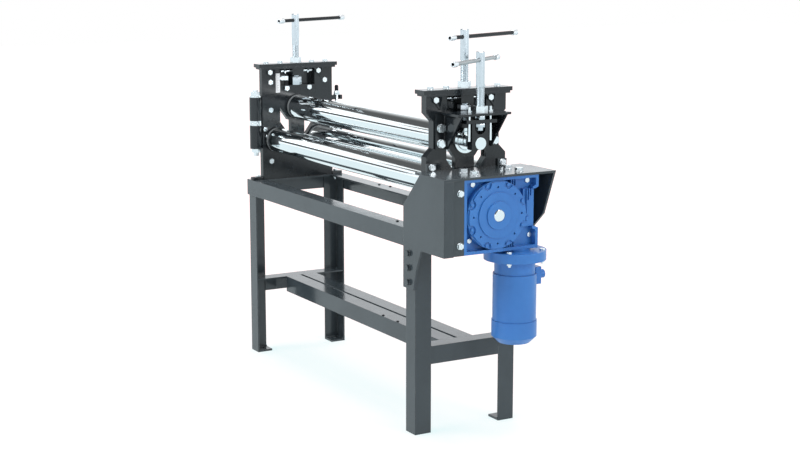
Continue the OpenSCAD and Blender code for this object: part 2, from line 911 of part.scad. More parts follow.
// Cap with the nut block below it, around the screw at mid
module cap(mid, plate_t) {
    half_cap = plate_t / 2 + cap_overhang;
    color(BLACK) difference() {
        union() {
            block([mid - half_cap, -cap_l / 2, cap_low], [mid + half_cap, cap_l / 2, cap_top]);
            block([mid - block_x / 2, -block_w / 2, block_low],
                  [mid + block_x / 2, block_w / 2, cap_low + over]);
        }
        translate([mid, 0, block_low - over])
            cylinder(d = screw_d + 2 * run_gap, h = block_h + cap_t + 2 * over);
        cap_bolt_places(mid, cap_top) bolt_hole(housing_bolt_d, cap_t);
        translate([mid, -block_w / 2 - over, clamp_z]) facing_back()
            cylinder(d = clamp_bolt_d + 2 * run_gap, h = block_w + 2 * over);
    }
}

// Clamp bolts that lock a screw in its nut block
module clamp_bolts(mid) {
    color(STEEL) for (s = [0, 1]) mirror([0, s, 0]) translate([mid, 0, clamp_z])
        facing_front() {
            translate([0, 0, screw_d / 2 + face_gap])
                cylinder(d = clamp_bolt_d, h = clamp_end - screw_d / 2 - face_gap);
            translate([0, 0, jam_y]) hex(clamp_bolt_d * af_share, jam_t);
        }
}

// Cap bolts, lock nut and bracket bolts of one end
module end_fasteners(mid, face, plate_t) {
    color(STEEL) {
        cap_bolt_places(mid, cap_top) bolt(housing_bolt_d, cap_t + flange_t);
        translate([mid, 0, cap_top]) nut(lock_af, lock_h, screw_d + 2 * run_gap);
        bracket_bolt_places(face + bracket_t / 2)
            bolt(housing_bolt_d, plate_t + bracket_t / 2, false);
    }
}

// Bolts of the right housing, its cap, the tail bracket and the console cleats
module right_fasteners() {
    end_fasteners(right_mid_x, right_x1, right_plate_t);
    color(STEEL) {
        tail_bracket_places() bolt(bracket_bolt_d, bracket_flange_t + right_plate_t);
        cleat_places() bolt(housing_bolt_d, cleat_t + right_plate_t);
        housing_foot_places(1) bolt(foot_bolt_d, housing_foot_t + angle_t);
    }
}

// Drop end: upper plate with its window, hinge barrel, latch lug, flange and guard
module drop_end() {
    low = split_z + split_gap / 2;
    color(BLACK) difference() {
        union() {
            block([left_x0, -half_h, low], [-left_face_x, half_h, housing_top]);
            top_flange(left_x0, -left_face_x);
            guard(left_mid_x, left_x0);
            cap_brackets(-left_face_x);
            hinge_barrel(barrel_up_low);
            block([left_x0, half_h - over, latch_lug_z],
                  [-left_face_x, latch_lug_y, latch_lug_z + latch_lug_h]);
        }
        window(left_x0, -left_face_x, low - over, housing_top);
        hinge_bore(barrel_up_low);
        block([left_mid_x - latch_d / 2 - latch_gap, latch_y - latch_d / 2 - latch_gap,
               latch_lug_z - over],
              [-left_face_x + over, latch_y + latch_d / 2 + latch_gap,
               latch_lug_z + latch_lug_h + over]);
        bracket_bolt_places(-left_face_x + bracket_t / 2)
            bolt_hole(housing_bolt_d, left_plate_t + bracket_t / 2);
        drop_bolt_places() bolt_hole(housing_bolt_d, left_plate_t);
    }
}

// Places of the bolts on the face of the drop end
module drop_bolt_places() {
    for (z = [split_z + gate_bolt_rise, housing_top - gate_bolt_drop],
         y = [-gate_bolt_y, gate_bolt_y])
        translate([-left_face_x, y, z]) facing_x() children();
}

module drop_end_fasteners() {
    end_fasteners(left_mid_x, -left_face_x, left_plate_t);
    color(STEEL) drop_bolt_places() bolt(housing_bolt_d, left_plate_t, false);
}

// Scale on the drop end, beside the window
module roll_scale() {
    color("whitesmoke") block([-left_face_x, -half_win - scale_w, scale_low],
                              [-left_face_x + scale_t, -half_win, scale_low + scale_h]);
}

// Carriages

// Carriage outline: full width at the top, sloping shoulders and a stem
module carriage_outline(stem_w) {
    wide = half_win - slide_gap;
    polygon([
        [-wide, carriage_top], [-wide, carriage_shoulder_z],
        [-shoulder_half, carriage_shoulder_z - shoulder_h],
        [-stem_w / 2, carriage_shoulder_z - shoulder_h - stem_chamfer], [-stem_w / 2, stem_low],
        [stem_w / 2, stem_low], [stem_w / 2, carriage_shoulder_z - shoulder_h - stem_chamfer],
        [shoulder_half, carriage_shoulder_z - shoulder_h],
        [wide, carriage_shoulder_z], [wide, carriage_top]
    ]);
}

// Carriage from x0 with thickness t, tongues at the window's middle and a T-slot
module carriage(x0, t, stem_w, mid) {
    difference() {
        union() {
            translate([x0, 0, 0]) along_x() linear_extrude(t) carriage_outline(stem_w);
            block([mid - tongue_t / 2, -half_win - tongue_d, carriage_shoulder_z],
                  [mid + tongue_t / 2, half_win + tongue_d, carriage_top]);
        }
        t_slot(mid, neck_d / 2 + run_gap, carriage_top - neck_l - over, carriage_top + over, x0);
        t_slot(mid, button_d / 2 + run_gap, carriage_top - neck_l - button_h - face_gap,
               carriage_top - neck_l + face_gap, x0);
    }
}

// Slot of radius r round the screw, open to the outer side at x0
module t_slot(mid, r, z0, z1, x0) {
    translate([mid, 0, z0]) cylinder(r = r, h = z1 - z0);
    block([x0 - over, -r, z0], [mid, r, z1]);
}

module left_carriage() {
    color(BLACK) difference() {
        carriage(left_x0, left_plate_t, left_stem_w, left_mid_x);
        translate([left_x0 - over, 0, top_roll_z]) facing_x()
            cylinder(d = top_left_journal_d + 2 * top_bush_wall, h = left_plate_t + 2 * over);
        carriage_bolt_places() bolt_hole(housing_bolt_d, left_plate_t);
    }
}

// Bush of the left carriage, wide enough for the drop end to swing off the journal
module left_top_bush() {
    color("peru") translate([left_x0, 0, top_roll_z]) facing_x() difference() {
        cylinder(d = top_left_journal_d + 2 * top_bush_wall, h = left_plate_t);
        translate([0, 0, -over])
            cylinder(d = top_left_journal_d + 2 * drop_bush_gap, h = left_plate_t + 2 * over);
    }
}

module carriage_bolt_places() {
    for (y = [-carriage_bolt_y, carriage_bolt_y])
        translate([-left_face_x, y, carriage_bolt_z]) facing_x() children();
}

// Pointer clamped to the left carriage by one of its two bolts
module scale_pointer() {
    rise = scale_t + face_gap;
    x0 = -left_face_x + rise;
    color(STEEL) {
        difference() {
            union() {
                block([-left_face_x, -carriage_bolt_y - pointer_w / 2, pointer_low],
                      [x0, -carriage_bolt_y + pointer_w / 2, carriage_top - slot_gap]);
                block([x0, -carriage_bolt_y - pointer_w / 2, pointer_low],
                      [x0 + pointer_t, -carriage_bolt_y + pointer_w / 2, pointer_top]);
                translate([x0, 0, 0]) along_x() linear_extrude(pointer_t) polygon([
                    [-carriage_bolt_y, pointer_top], [-carriage_bolt_y - pointer_tip / 2, pointer_top],
                    [-carriage_bolt_y - pointer_tip * 0.75, pointer_top - pointer_w / 2],
                    [-carriage_bolt_y - pointer_tip / 2, pointer_top - pointer_w],
                    [-carriage_bolt_y, pointer_top - pointer_w]
                ]);
            }
            translate([rise + pointer_t, 0, 0]) carriage_bolt_places()
                bolt_hole(housing_bolt_d, rise + pointer_t);
        }
        translate([x0 + pointer_t, -carriage_bolt_y, carriage_bolt_z]) facing_x()
            bolt(housing_bolt_d, left_plate_t + rise + pointer_t, false);
        translate([-left_face_x, carriage_bolt_y, carriage_bolt_z]) facing_x()
            bolt(housing_bolt_d, left_plate_t, false);
    }
}

module right_carriage() {
    color(BLACK) difference() {
        union() {
            carriage(right_face_x, right_carriage_t, right_stem_w, right_mid_x);
            translate([right_face_x, 0, top_roll_z]) facing_x()
                cylinder(d = ring_seat_d + 2 * bush_wall, h = right_carriage_t);
        }
        translate([right_face_x - over, 0, top_roll_z]) facing_x()
            cylinder(d = ring_seat_d, h = right_plate_t + 2 * over);
    }
}

// Flanged bearing of the top roll in the right carriage
module right_top_bearing() {
    color("lightgray") translate([right_face_x, 0, top_roll_z]) facing_x() difference() {
        union() {
            cylinder(d = ring_seat_d, h = right_carriage_t);
            translate([0, 0, right_carriage_t])
                cylinder(d = ring_seat_d + 2 * right_ring_w, h = right_ring_t);
        }
        translate([0, 0, -over]) cylinder(d = top_right_journal_d + 2 * run_gap,
                                         h = right_carriage_t + right_ring_t + 2 * over);
    }
}

// Screws and T-bars

// Main screw: thread and shank, thrust collar, neck and button
module main_screw(mid) {
    collar_low = carriage_top + face_gap;
    color(STEEL) translate([mid, 0, 0]) difference() {
        union() {
            translate([0, 0, collar_low + collar_h - over])
                cylinder(d = screw_d, h = screw_top - screw_chamfer - collar_low - collar_h + over);
            translate([0, 0, screw_top - screw_chamfer])
                cylinder(d1 = screw_d, d2 = screw_d - 2 * screw_chamfer, h = screw_chamfer);
            rotate([0, 0, 30]) translate([0, 0, collar_low]) hex(collar_af, collar_h);
            translate([0, 0, carriage_top - neck_l - over])
                cylinder(d = neck_d, h = neck_l + face_gap + 2 * over);
            translate([0, 0, carriage_top - neck_l - button_h]) cylinder(d = button_d, h = button_h);
        }
        rotate([0, 0, bar_turn]) translate([0, -screw_d, bar_z]) facing_back()
            cylinder(d = bar_d + 2 * bar_hole_gap, h = 2 * screw_d);
    }
}

// T-bar of length l with a knob at each end, slid along its hole by slide
module t_bar(l, slide) {
    translate([0, slide - l / 2, 0]) facing_back() {
        translate([0, 0, knob_l / 2]) cylinder(d = bar_d, h = l - knob_l);
        for (z = [0, l - knob_l]) translate([0, 0, z]) cylinder(d = knob_d, h = knob_l);
    }
}

module main_bar(mid, slide) {
    color(BLACK) translate([mid, 0, bar_z]) rotate([0, 0, bar_turn]) t_bar(bar_l, slide);
}

// Tail screw: shank, collars above and below the yoke, and the end nut
module tail_screw() {
    upper_h = shelf_low - yoke_top - 2 * face_gap;
    color(STEEL) translate([tail_x, 0, 0]) difference() {
        union() {
            translate([0, 0, shelf_low - face_gap])
                cylinder(d = screw_d, h = tail_screw_top - screw_chamfer - shelf_low + face_gap);
            translate([0, 0, tail_screw_top - screw_chamfer])
                cylinder(d1 = screw_d, d2 = screw_d - 2 * screw_chamfer, h = screw_chamfer);
            translate([0, 0, yoke_top + face_gap]) hex(tail_collar_af, upper_h);
            translate([0, 0, yoke_low - tail_end_l])
                cylinder(d = neck_d, h = yoke_t + tail_end_l + over);
            translate([0, 0, yoke_low - face_gap - tail_end_l]) hex(tail_collar_af, tail_end_l);
            translate([0, 0, yoke_low - 2 * tail_end_l]) cylinder(d = tail_end_d, h = tail_end_l);
        }
        rotate([0, 0, tail_bar_turn]) translate([0, -screw_d, tail_bar_z]) facing_back()
            cylinder(d = bar_d + 2 * bar_hole_gap, h = 2 * screw_d);
    }
}

module tail_t_bar() {
    color(STEEL) translate([tail_x, 0, tail_bar_z]) rotate([0, 0, tail_bar_turn])
        t_bar(tail_bar_l, tail_bar_slide);
}

// Tail of the top roll

// Places of the four bolts of the tail bracket
module tail_bracket_places() {
    for (z = [0, tail_bolt_step], y = [-tail_bolt_y, tail_bolt_y])
        translate([right_x1 + bracket_flange_t, y, shelf_low - tail_bolt_drop - z])
            facing_x() children();
}

// Shelf on two gussets, with flanges against the right housing
module tail_bracket() {
    flange_y = gusset_y - gusset_t / 2;
    color(BLACK) difference() {
        union() {
            block([right_x1, -shelf_half, shelf_low], [shelf_end_x, shelf_half, shelf_top]);
            for (s = [0, 1]) mirror([0, s, 0]) {
                block([right_x1, flange_y, gusset_low],
                      [right_x1 + bracket_flange_t, flange_y + bracket_flange_w, shelf_low]);
                translate([0, gusset_y + gusset_t / 2, 0]) facing_front()
                    linear_extrude(gusset_t) polygon([
                        [right_x1, gusset_low], [right_x1 + gusset_foot, gusset_low],
                        [shelf_end_x, shelf_low], [shelf_end_x, shelf_top - over],
                        [right_x1, shelf_top - over]
                    ]);
            }
        }
        block([right_x1 - over, -shelf_notch_half, shelf_low - over],
              [shelf_notch_x, shelf_notch_half, shelf_top + over]);
        tail_bracket_places() bolt_hole(bracket_bolt_d, bracket_flange_t);
        translate([tail_x, 0, shelf_low - over])
            cylinder(d = screw_d + 2 * bolt_gap, h = shelf_t + 2 * over);
        rod_places() translate([0, 0, shelf_low - over])
            cylinder(d = rod_d + 2 * run_gap, h = shelf_t + 2 * over);
    }
}

module rod_places() {
    for (y = [-rod_y, rod_y]) translate([tail_x, y, 0]) children();
}

// Guide rods that hang from the shelf, each with a nut above it
module tail_guide_rods() {
    color(STEEL) rod_places() {
        translate([0, 0, rod_low]) cylinder(d = rod_d, h = rod_top - rod_low);
        translate([0, 0, shelf_top]) hex(rod_d * af_share, rod_nut_h);
    }
}

// Threaded nut of the tail screw, fixed on the shelf
module tail_nut() {
    color(STEEL) translate([tail_x, 0, shelf_top])
        nut(tail_nut_af, tail_nut_h, screw_d + 2 * run_gap);
}

// Yoke plate welded to the block that carries the roll's tail
module tail_block() {
    color(BLACK) difference() {
        union() {
            block([tail_x - yoke_back, -yoke_half, yoke_low],
                  [tail_x + yoke_front, yoke_half, yoke_top]);
            block([tail_block_x0, -tail_block_w / 2, top_roll_z - tail_block_drop],
                  [tail_block_x1, tail_block_w / 2, yoke_low + over]);
        }
        block([tail_block_x0 - over, -notch_w / 2, notch_z],
              [tail_block_x1 + over, notch_w / 2, yoke_low]);
        translate([tail_block_x0 - over, 0, notch_z]) facing_x()
            cylinder(d = notch_w, h = tail_block_t + 2 * over);
        translate([tail_block_x0 - over, 0, top_roll_z]) facing_x()
            cylinder(d = tail_neck_d + 2 * run_gap, h = tail_block_t + 2 * over);
        translate([tail_x, 0, yoke_low - over])
            cylinder(d = neck_d + 2 * run_gap, h = yoke_t + 2 * over);
        rod_places() translate([0, 0, yoke_low - over])
            cylinder(d = rod_d + 2 * run_gap, h = yoke_t + 2 * over);
    }
}

// Rolls

// Roll body between the housings, as a turned profile of [radius, x] from x0 to x1
module top_roll() {
    x0 = -left_face_x + roll_end_gap;
    x1 = right_face_x - roll_end_gap;
    r = roll_d / 2;
    rl = top_left_journal_d / 2;
    rr = top_right_journal_d / 2;
    rt = tail_d / 2;
    rn = tail_neck_d / 2;
    ring_x = right_face_x + right_carriage_t + right_ring_t;
    color(STEEL) translate([0, 0, top_roll_z]) facing_x() rotate_extrude($fn = 96) polygon([
        [0, left_x0], [rl - nose_drop, left_x0], [rl, left_x0 + nose_l], [rl, x0],
        [r - roll_chamfer, x0], [r, x0 + roll_chamfer], [r, x1 - roll_chamfer],
        [r - roll_chamfer, x1], [rr, x1], [rr, ring_x - roll_chamfer],
        [rr - roll_chamfer, ring_x], [rt, ring_x], [rt, tail_block_x0 - face_gap],
        [rn, tail_block_x0 - face_gap], [rn, tail_block_x1 + face_gap],
        [rt, tail_block_x1 + face_gap], [rt, tail_block_x1 + face_gap + tail_disc_t],
        [0, tail_block_x1 + face_gap + tail_disc_t]
    ]);
}

module low_roll(y) {
    x0 = -left_face_x + roll_end_gap;
    x1 = right_face_x - roll_end_gap;
    r = roll_d / 2;
    rj = low_journal_d / 2;
    rs = roll_seat_d / 2;
    color(STEEL) translate([0, y, low_roll_z]) facing_x() rotate_extrude($fn = 96) polygon([
        [0, left_x0], [rj, left_x0], [rj, x0], [r - roll_chamfer, x0], [r, x0 + roll_chamfer],
        [r, x1 - roll_chamfer], [r - roll_chamfer, x1], [rj, x1], [rj, right_x1 + face_gap],
        [rs, right_x1 + face_gap], [rs, gear_x1], [0, gear_x1]
    ]);
}

// Gears

// Involute of a circle of radius rb at radius r, as a polar angle in degrees
function involute(rb, r) =
    let (t = sqrt(max(pow(r / rb, 2) - 1, 0))) t * 180 / PI - atan(t);

// Half the angle of a tooth at radius r
function half_tooth(z, r) =
    let (rp = gear_m * z / 2, rb = rp * cos(press_angle),
         half_pitch = (gear_m * PI / 2 - backlash_gap / 2) / 2 / rp * 180 / PI)
    half_pitch + involute(rb, rp) - involute(rb, max(r, rb));

function polar(r, a) = [r * cos(a), r * sin(a)];

// Outline of a spur gear of z teeth, with a tooth centred on angle 0
function gear_points(z) =
    let (rp = gear_m * z / 2, rb = rp * cos(press_angle),
         ra = rp + gear_m * addendum_share, rf = rp - gear_m * dedendum_share,
         r0 = max(rf, rb))
    [for (i = [0:z - 1]) let (a = 360 * i / z) each concat(
        [polar(rf, a - half_tooth(z, r0))],
        [for (k = [0:flank_steps]) let (r = r0 + (ra - r0) * k / flank_steps)
            polar(r, a - half_tooth(z, r))],
        [for (k = [flank_steps:-1:0]) let (r = r0 + (ra - r0) * k / flank_steps)
            polar(r, a + half_tooth(z, r))],
        [polar(rf, a + half_tooth(z, r0))]
    )];

// Phase that meshes a gear of z2 teeth with one of z1 teeth, seen at angle phi
function mesh_phase(z1, z2, phi) = 180 + phi * (1 + z1 / z2) - 180 / z2;

// Direction from the drive shaft to a driven roll on side s
function roll_phi(s) = atan2(low_roll_z - shaft_z, s * low_roll_pitch / 2);

module roll_gear(s) {
    color("gray") translate([gear_x0, s * low_roll_pitch / 2, low_roll_z]) along_x() difference() {
        union() {
            rotate([0, 0, mesh_phase(drive_teeth, roll_teeth, roll_phi(s))])
                linear_extrude(gear_w) polygon(gear_points(roll_teeth));
            translate([0, 0, -roll_hub_l]) cylinder(d = roll_hub_d, h = roll_hub_l + over);
        }
        translate([0, 0, -roll_hub_l - over]) cylinder(d = roll_seat_d, h = gear_w + roll_hub_l
            + 2 * over);
    }
}

module drive_gear() {
    color("gray") translate([gear_x0, 0, shaft_z]) along_x() difference() {
        linear_extrude(gear_w) polygon(gear_points(drive_teeth));
        translate([0, 0, -over]) cylinder(d = shaft_d, h = gear_w + 2 * over);
        for (z = [-over, gear_w - (gear_w - gear_web_t) / 2]) translate([0, 0, z]) difference() {
            cylinder(r = pitch_d / 2 - gear_rim_t, h = (gear_w - gear_web_t) / 2 + over);
            translate([0, 0, -over]) cylinder(d = gear_hub_d, h = gear_w);
        }
        for (i = [0:gear_holes - 1]) rotate([0, 0, i * 360 / gear_holes])
            translate([gear_hole_r, 0, -over]) cylinder(d = gear_hole_d, h = gear_w + 2 * over);
    }
}

// Shaft from its bush in the right housing, through the gear, to the gearbox
module drive_shaft() {
    rp = pilot_d / 2;
    rs = shaft_d / 2;
    color(STEEL) translate([0, 0, shaft_z]) facing_x() rotate_extrude($fn = 64) polygon([
        [0, right_face_x], [rp, right_face_x], [rp, right_x1 + face_gap],
        [rs, right_x1 + face_gap], [rs, shaft_end_x - roll_chamfer],
        [rs - roll_chamfer, shaft_end_x], [0, shaft_end_x]
    ]);
}

// Console

// Side plate in the X-Z plane, outside the right legs, from its points
module side_plate(sy, inner, points) {
    color(DARK) mirror([0, sy > 0 ? 1 : 0, 0]) difference() {
        union() {
            translate([0, -inner, 0]) facing_front() linear_extrude(console_t) polygon(points);
            if (inner > half_w)
                block([leg_bolt_x - pack_w / 2, -inner - over, console_low_z],
                      [leg_bolt_x + pack_w / 2, -half_w, console_low_z + pack_h]);
        }
        side_bolt_places(inner) bolt_hole(frame_bolt_d, inner - half_w + console_t);
    }
}

// Places of the bolts from a side plate, with its inner face at Y = -inner, into its leg
module side_bolt_places(inner) {
    for (i = [0:2])
        translate([leg_bolt_x, -inner - console_t, console_low_z + leg_bolt_rise + i * leg_bolt_step])
            facing_front() children();
}

// Front plate with the return flange at its end and the cleat that holds the gearbox's ears
module console_front_plate() {
    under = console_top - console_t;
    side_plate(-1, half_w, [
        [console_low_x, console_low_z], [half_l, console_low_z],
        [console_sweep_x, console_sweep_z], [mount_face_x - console_t, box_low_z],
        [console_end_x, box_low_z], [console_end_x, console_top],
        [console_corner_x, console_top], [console_low_x, console_corner_z]
    ]);
    color(DARK) difference() {
        union() {
            block([console_end_x - console_t, -half_w - over, box_low_z],
                  [console_end_x, -half_w + return_w, under]);
            block([ear_face_x, -half_w - over, box_low_z],
                  [ear_face_x + console_t, -box_near - face_gap, under]);
        }
        ear_bolt_places() bolt_hole(ear_bolt_d, console_t);
    }
}

module console_rear_plate() {
    side_plate(1, rear_inner, [
        [console_low_x, console_low_z], [half_l, console_low_z],
        [console_sweep_x, console_sweep_z], [console_sweep_x, box_low_z],
        [console_end_x - knee_back, console_top - knee_drop], [console_end_x, console_top],
        [console_corner_x, console_top], [console_low_x, console_corner_z]
    ]);
}

// Places of the bolts of the two cleats that join the console to the right housing
module cleat_places() {
    for (y = [-cleat_y, cleat_y])
        translate([right_x1 + cleat_t, y, console_top + cleat_w / 2]) facing_x() children();
}

// Places of the bolts from the console's top into the gearbox
module top_bolt_places() {
    for (x = [top_bolt_near, top_bolt_far], y = [-top_bolt_front, top_bolt_rear])
        translate([mount_face_x + x, y, console_top]) children();
}

// Top plate between the side plates, with two cleats against the housing
module console_top_plate() {
    color(DARK) difference() {
        union() {
            block([right_x1, -half_w, console_top - console_t],
                  [console_end_x, rear_inner, console_top]);
            for (y = [-cleat_y, cleat_y])
                block([right_x1, y - cleat_l / 2, console_top - over],
                      [right_x1 + cleat_t, y + cleat_l / 2, console_top + cleat_w]);
        }
        cleat_places() bolt_hole(housing_bolt_d, cleat_t);
        top_bolt_places() bolt_hole(top_bolt_d, console_t);
    }
}

// Places of the four long bolts from the gearbox's pockets through its mounting plate
module mount_bolt_places() {
    for (p = [
        [-box_near + mount_bolt_near_top, box_up - mount_bolt_top],
        [box_far - mount_bolt_far_top, box_up - mount_bolt_top],
        [-box_near + mount_bolt_near_low, -box_down + mount_bolt_low],
        [box_far - mount_bolt_far_low, -box_down + mount_bolt_low]
    ]) translate([mount_face_x + pocket_x, p[0], shaft_z + p[1]]) facing_x() children();
}

// Places of the two bolts from the front plate's cleat into the gearbox's ears
module ear_bolt_places() {
    for (z = [box_low_z + ear_low_rise, console_top - console_t - ear_top_drop])
        translate([ear_face_x + console_t, -box_near - ear_bolt_y, z]) facing_x() children();
}

// Cross plate between the side plates that carries the gearbox
module gearbox_mounting_plate() {
    color(DARK) difference() {
        block([mount_face_x - console_t, -half_w, box_low_z],
              [mount_face_x, rear_inner, console_top - console_t]);
        translate([mount_face_x - console_t - over, 0, shaft_z]) facing_x()
            cylinder(d = mount_hole_d, h = console_t + 2 * over);
        mount_bolt_places() bolt_hole(mount_bolt_d, pocket_x + console_t);
    }
}

// Gearmotor

// Outline of the gearbox housing, stepped in between its two lugs on the worm's side
module gearbox_outline() {
    low = lug_low_h - box_down;
    high = box_up - lug_top_h;
    polygon([
        [-box_near, -box_down], [box_far, -box_down], [box_far, low - lug_step / 2],
        [box_far - lug_step, low], [box_far - lug_step, high],
        [box_far, high + lug_step / 2], [box_far, box_up], [-box_near, box_up]
    ]);
}

// Frame round the pockets, left out where the worm housing closes it
module gearbox_frame() {
    difference() {
        gearbox_outline();
        offset(delta = -frame_t) gearbox_outline();
        translate([box_far - worm_w, lug_low_h - box_down])
            square([worm_w + over, gearbox_h - lug_low_h - lug_top_h]);
    }
}

// Stiffening ribs between the core and the frame, and on the worm housing
module gearbox_ribs() {
    for (i = [0:2]) translate([rib_y + i * rib_step, box_up - rib_l, 0])
        cube([rib_t, rib_l - over, gearbox_d - rib_face]);
    for (i = [0:3]) translate([rib_low_y + i * rib_step, over - box_down, 0])
        cube([rib_t, rib_l - over, gearbox_d - rib_face]);
    for (p = worm_ribs) translate([box_far - lug_step - p[0], box_up - lug_top_h - p[1], 0])
        cube([rib_t, p[1], gearbox_d - worm_face + worm_rib_h]);
    translate([box_far - lug_step - plug_y, lug_low_h - box_down + plug_z, 0])
        cylinder(d = plug_d, h = gearbox_d - worm_face + plug_h);
}

// Ears that the cleat of the console's front plate is bolted to
module gearbox_ears() {
    for (z = [box_low_z + ear_low_rise, console_top - console_t - ear_top_drop])
        block([ear_face_x - ear_l, -box_near - ear_w, z - ear_h / 2],
              [ear_face_x, -box_near + over, z + ear_h / 2]);
}

// Gearbox housing, with the bore of its hollow output
module gearbox_housing() {
    color(BLUE) difference() {
        union() {
            translate([mount_face_x, 0, shaft_z]) along_x() {
                linear_extrude(pocket_x) gearbox_outline();
                linear_extrude(gearbox_d) gearbox_frame();
                translate([box_far - worm_w, lug_low_h - box_down, 0])
                    cube([worm_w - lug_step, gearbox_h - lug_low_h - lug_top_h,
                          gearbox_d - worm_face]);
                cylinder(d = core_d, h = gearbox_d - cover_seat, $fn = 96);
                gearbox_ribs();
            }
            gearbox_ears();
            translate([motor_x, worm_offset, motor_flange_top])
                cylinder(d = worm_boss_d, h = worm_boss_h + over);
        }
        translate([mount_face_x - over, 0, shaft_z]) facing_x()
            cylinder(d = shaft_d + 2 * run_gap, h = gearbox_d + 2 * over);
        translate([box_face_x - cover_seat, 0, shaft_z]) facing_x()
            cylinder(d = cover_d + 2 * face_gap, h = cover_seat + over, $fn = 96);
        mount_bolt_places() bolt_hole(mount_bolt_d, pocket_x);
        ear_bolt_places() bolt_hole(ear_bolt_d, console_t + ear_l);
        top_bolt_places() translate([0, 0, -top_bolt_depth])
            cylinder(d = top_bolt_d + 2 * bolt_gap, h = top_bolt_depth);
    }
}

// Places at radius r, halfway between the tapped holes of the cover
module cover_notch_places(r) {
    for (i = [0:cover_bolts - 1]) rotate([0, 0, (i + 0.5) * 360 / cover_bolts])
        translate([r, 0, 0]) children();
}

// Output cover: a disc, a scalloped face with screws in its notches, and two rims
module gearbox_cover() {
    color(BLUE) translate([box_face_x - cover_seat, 0, shaft_z]) along_x() difference() {
        union() {
            cylinder(d = cover_d, h = cover_t, $fn = 96);
            translate([0, 0, cover_t]) linear_extrude(scallop_h) difference() {
                circle(d = scallop_d, $fn = 96);
                cover_notch_places(scallop_d / 2) circle(r = notch_r, $fn = 36);
            }
            translate([0, 0, cover_t]) cylinder(d = rim_d, h = scallop_h + rim_h, $fn = 96);
            translate([0, 0, cover_t]) cylinder(d = hub_rim_d, h = scallop_h + rim_h + hub_rim_h);
            translate([0, 0, cover_t]) cover_notch_places(cover_d / 2 - screw_head_inset)
                cylinder(d = screw_head_d, h = screw_head_h, $fn = 24);
        }
        translate([0, 0, -over]) cylinder(d = shaft_d + 2 * run_gap,
            h = cover_t + scallop_h + rim_h + hub_rim_h + 2 * over);
        for (i = [0:cover_bolts - 1]) rotate([0, 0, i * 360 / cover_bolts])
            translate([tapped_r, 0, cover_t]) cylinder(d = tapped_d, h = scallop_h + over, $fn = 24);
    }
}

// Bolts of the gearbox in its pockets, at its ears, on the console's top and in the flange
module gearmotor_bolts() {
    color(STEEL) {
        mount_bolt_places() through_bolt(mount_bolt_d, pocket_x + console_t, false);
        ear_bolt_places() bolt(ear_bolt_d, console_t + ear_l);
        top_bolt_places() bolt(top_bolt_d, top_bolt_depth - face_gap);
        flange_bolt_places() through_bolt(flange_bolt_d, motor_flange_t, false);
    }
}

module flange_bolt_places() {
    for (i = [0:3]) translate([motor_x, worm_offset, motor_flange_top])
        rotate([0, 0, 45 + 90 * i]) translate([motor_flange_d / 2 - flange_bolt_inset, 0, 0])
            children();
}

// Round flange between the worm's boss and the motor
module motor_flange() {
    color(BLUE) difference() {
        translate([motor_x, worm_offset, motor_flange_low])
            cylinder(d = motor_flange_d, h = motor_flange_t, $fn = 96);
        flange_bolt_places() bolt_hole(flange_bolt_d, motor_flange_t);
    }
}

// Motor body with its neck
module motor_body() {
    color(BLUE) translate([motor_x, worm_offset, 0]) {
        translate([0, 0, motor_neck_low])
            cylinder(d = motor_neck_d, h = motor_flange_low - motor_neck_low, $fn = 96);
        translate([0, 0, motor_bottom + cowl_h])
            cylinder(d = motor_d, h = motor_neck_low - motor_bottom - cowl_h, $fn = 96);
    }
}

// Fan cowl with its chamfered end
module motor_cowl() {
    r = cowl_d / 2;
    color(BLUE) translate([motor_x, worm_offset, motor_bottom]) rotate_extrude($fn = 96) polygon([
        [0, 0], [r - cowl_chamfer, 0], [r, cowl_chamfer], [r, cowl_h], [0, cowl_h]
    ]);
}

// Terminal block on the motor's back, with a gland facing the motor's free side
module cable_gland() {
    y0 = worm_offset + motor_d / 2 - gland_box_d / 3;
    color(BLUE) difference() {
        union() {
            block([motor_x - gland_box_w / 2, y0, gland_z - gland_box_h / 2],
                  [motor_x + gland_box_w / 2, y0 + gland_box_d, gland_z + gland_box_h / 2]);
            translate([motor_x, y0 + gland_box_d, gland_z]) facing_back()
                cylinder(d = gland_d, h = gland_l);
        }
        translate([motor_x, worm_offset, gland_z - gland_box_h])
            cylinder(d = motor_d, h = 2 * gland_box_h, $fn = 96);
        translate([motor_x, y0 + gland_box_d + gland_l / 2, gland_z]) facing_back()
            cylinder(d = gland_d / 2, h = gland_l);
    }
}

// Latch

// Swing bolt: eye, shank, nut and pull ring
module latch_bolt() {
    nut_z = latch_lug_z + latch_lug_h + face_gap;
    color(STEEL) translate([left_mid_x, latch_y, 0]) {
        translate([0, 0, latch_pivot_z]) facing_back() {
            translate([0, 0, -latch_eye_t / 2]) cylinder(d = latch_eye_d, h = latch_eye_t);
            translate([0, 0, -latch_eye_t / 2 - latch_ear_t - face_gap])
                cylinder(d = latch_pin_d, h = latch_eye_t + 2 * (latch_ear_t + face_gap));
        }
        translate([0, 0, latch_pivot_z]) cylinder(d = latch_d, h = nut_z + latch_top_l
            - latch_pivot_z);
        translate([0, 0, nut_z]) hex(latch_d * af_share, latch_d);
        translate([0, 0, nut_z + latch_top_l + latch_ring_d / 2]) facing_x()
            rotate_extrude() translate([latch_ring_d / 2, 0]) circle(d = latch_ring_t, $fn = 24);
    }
}

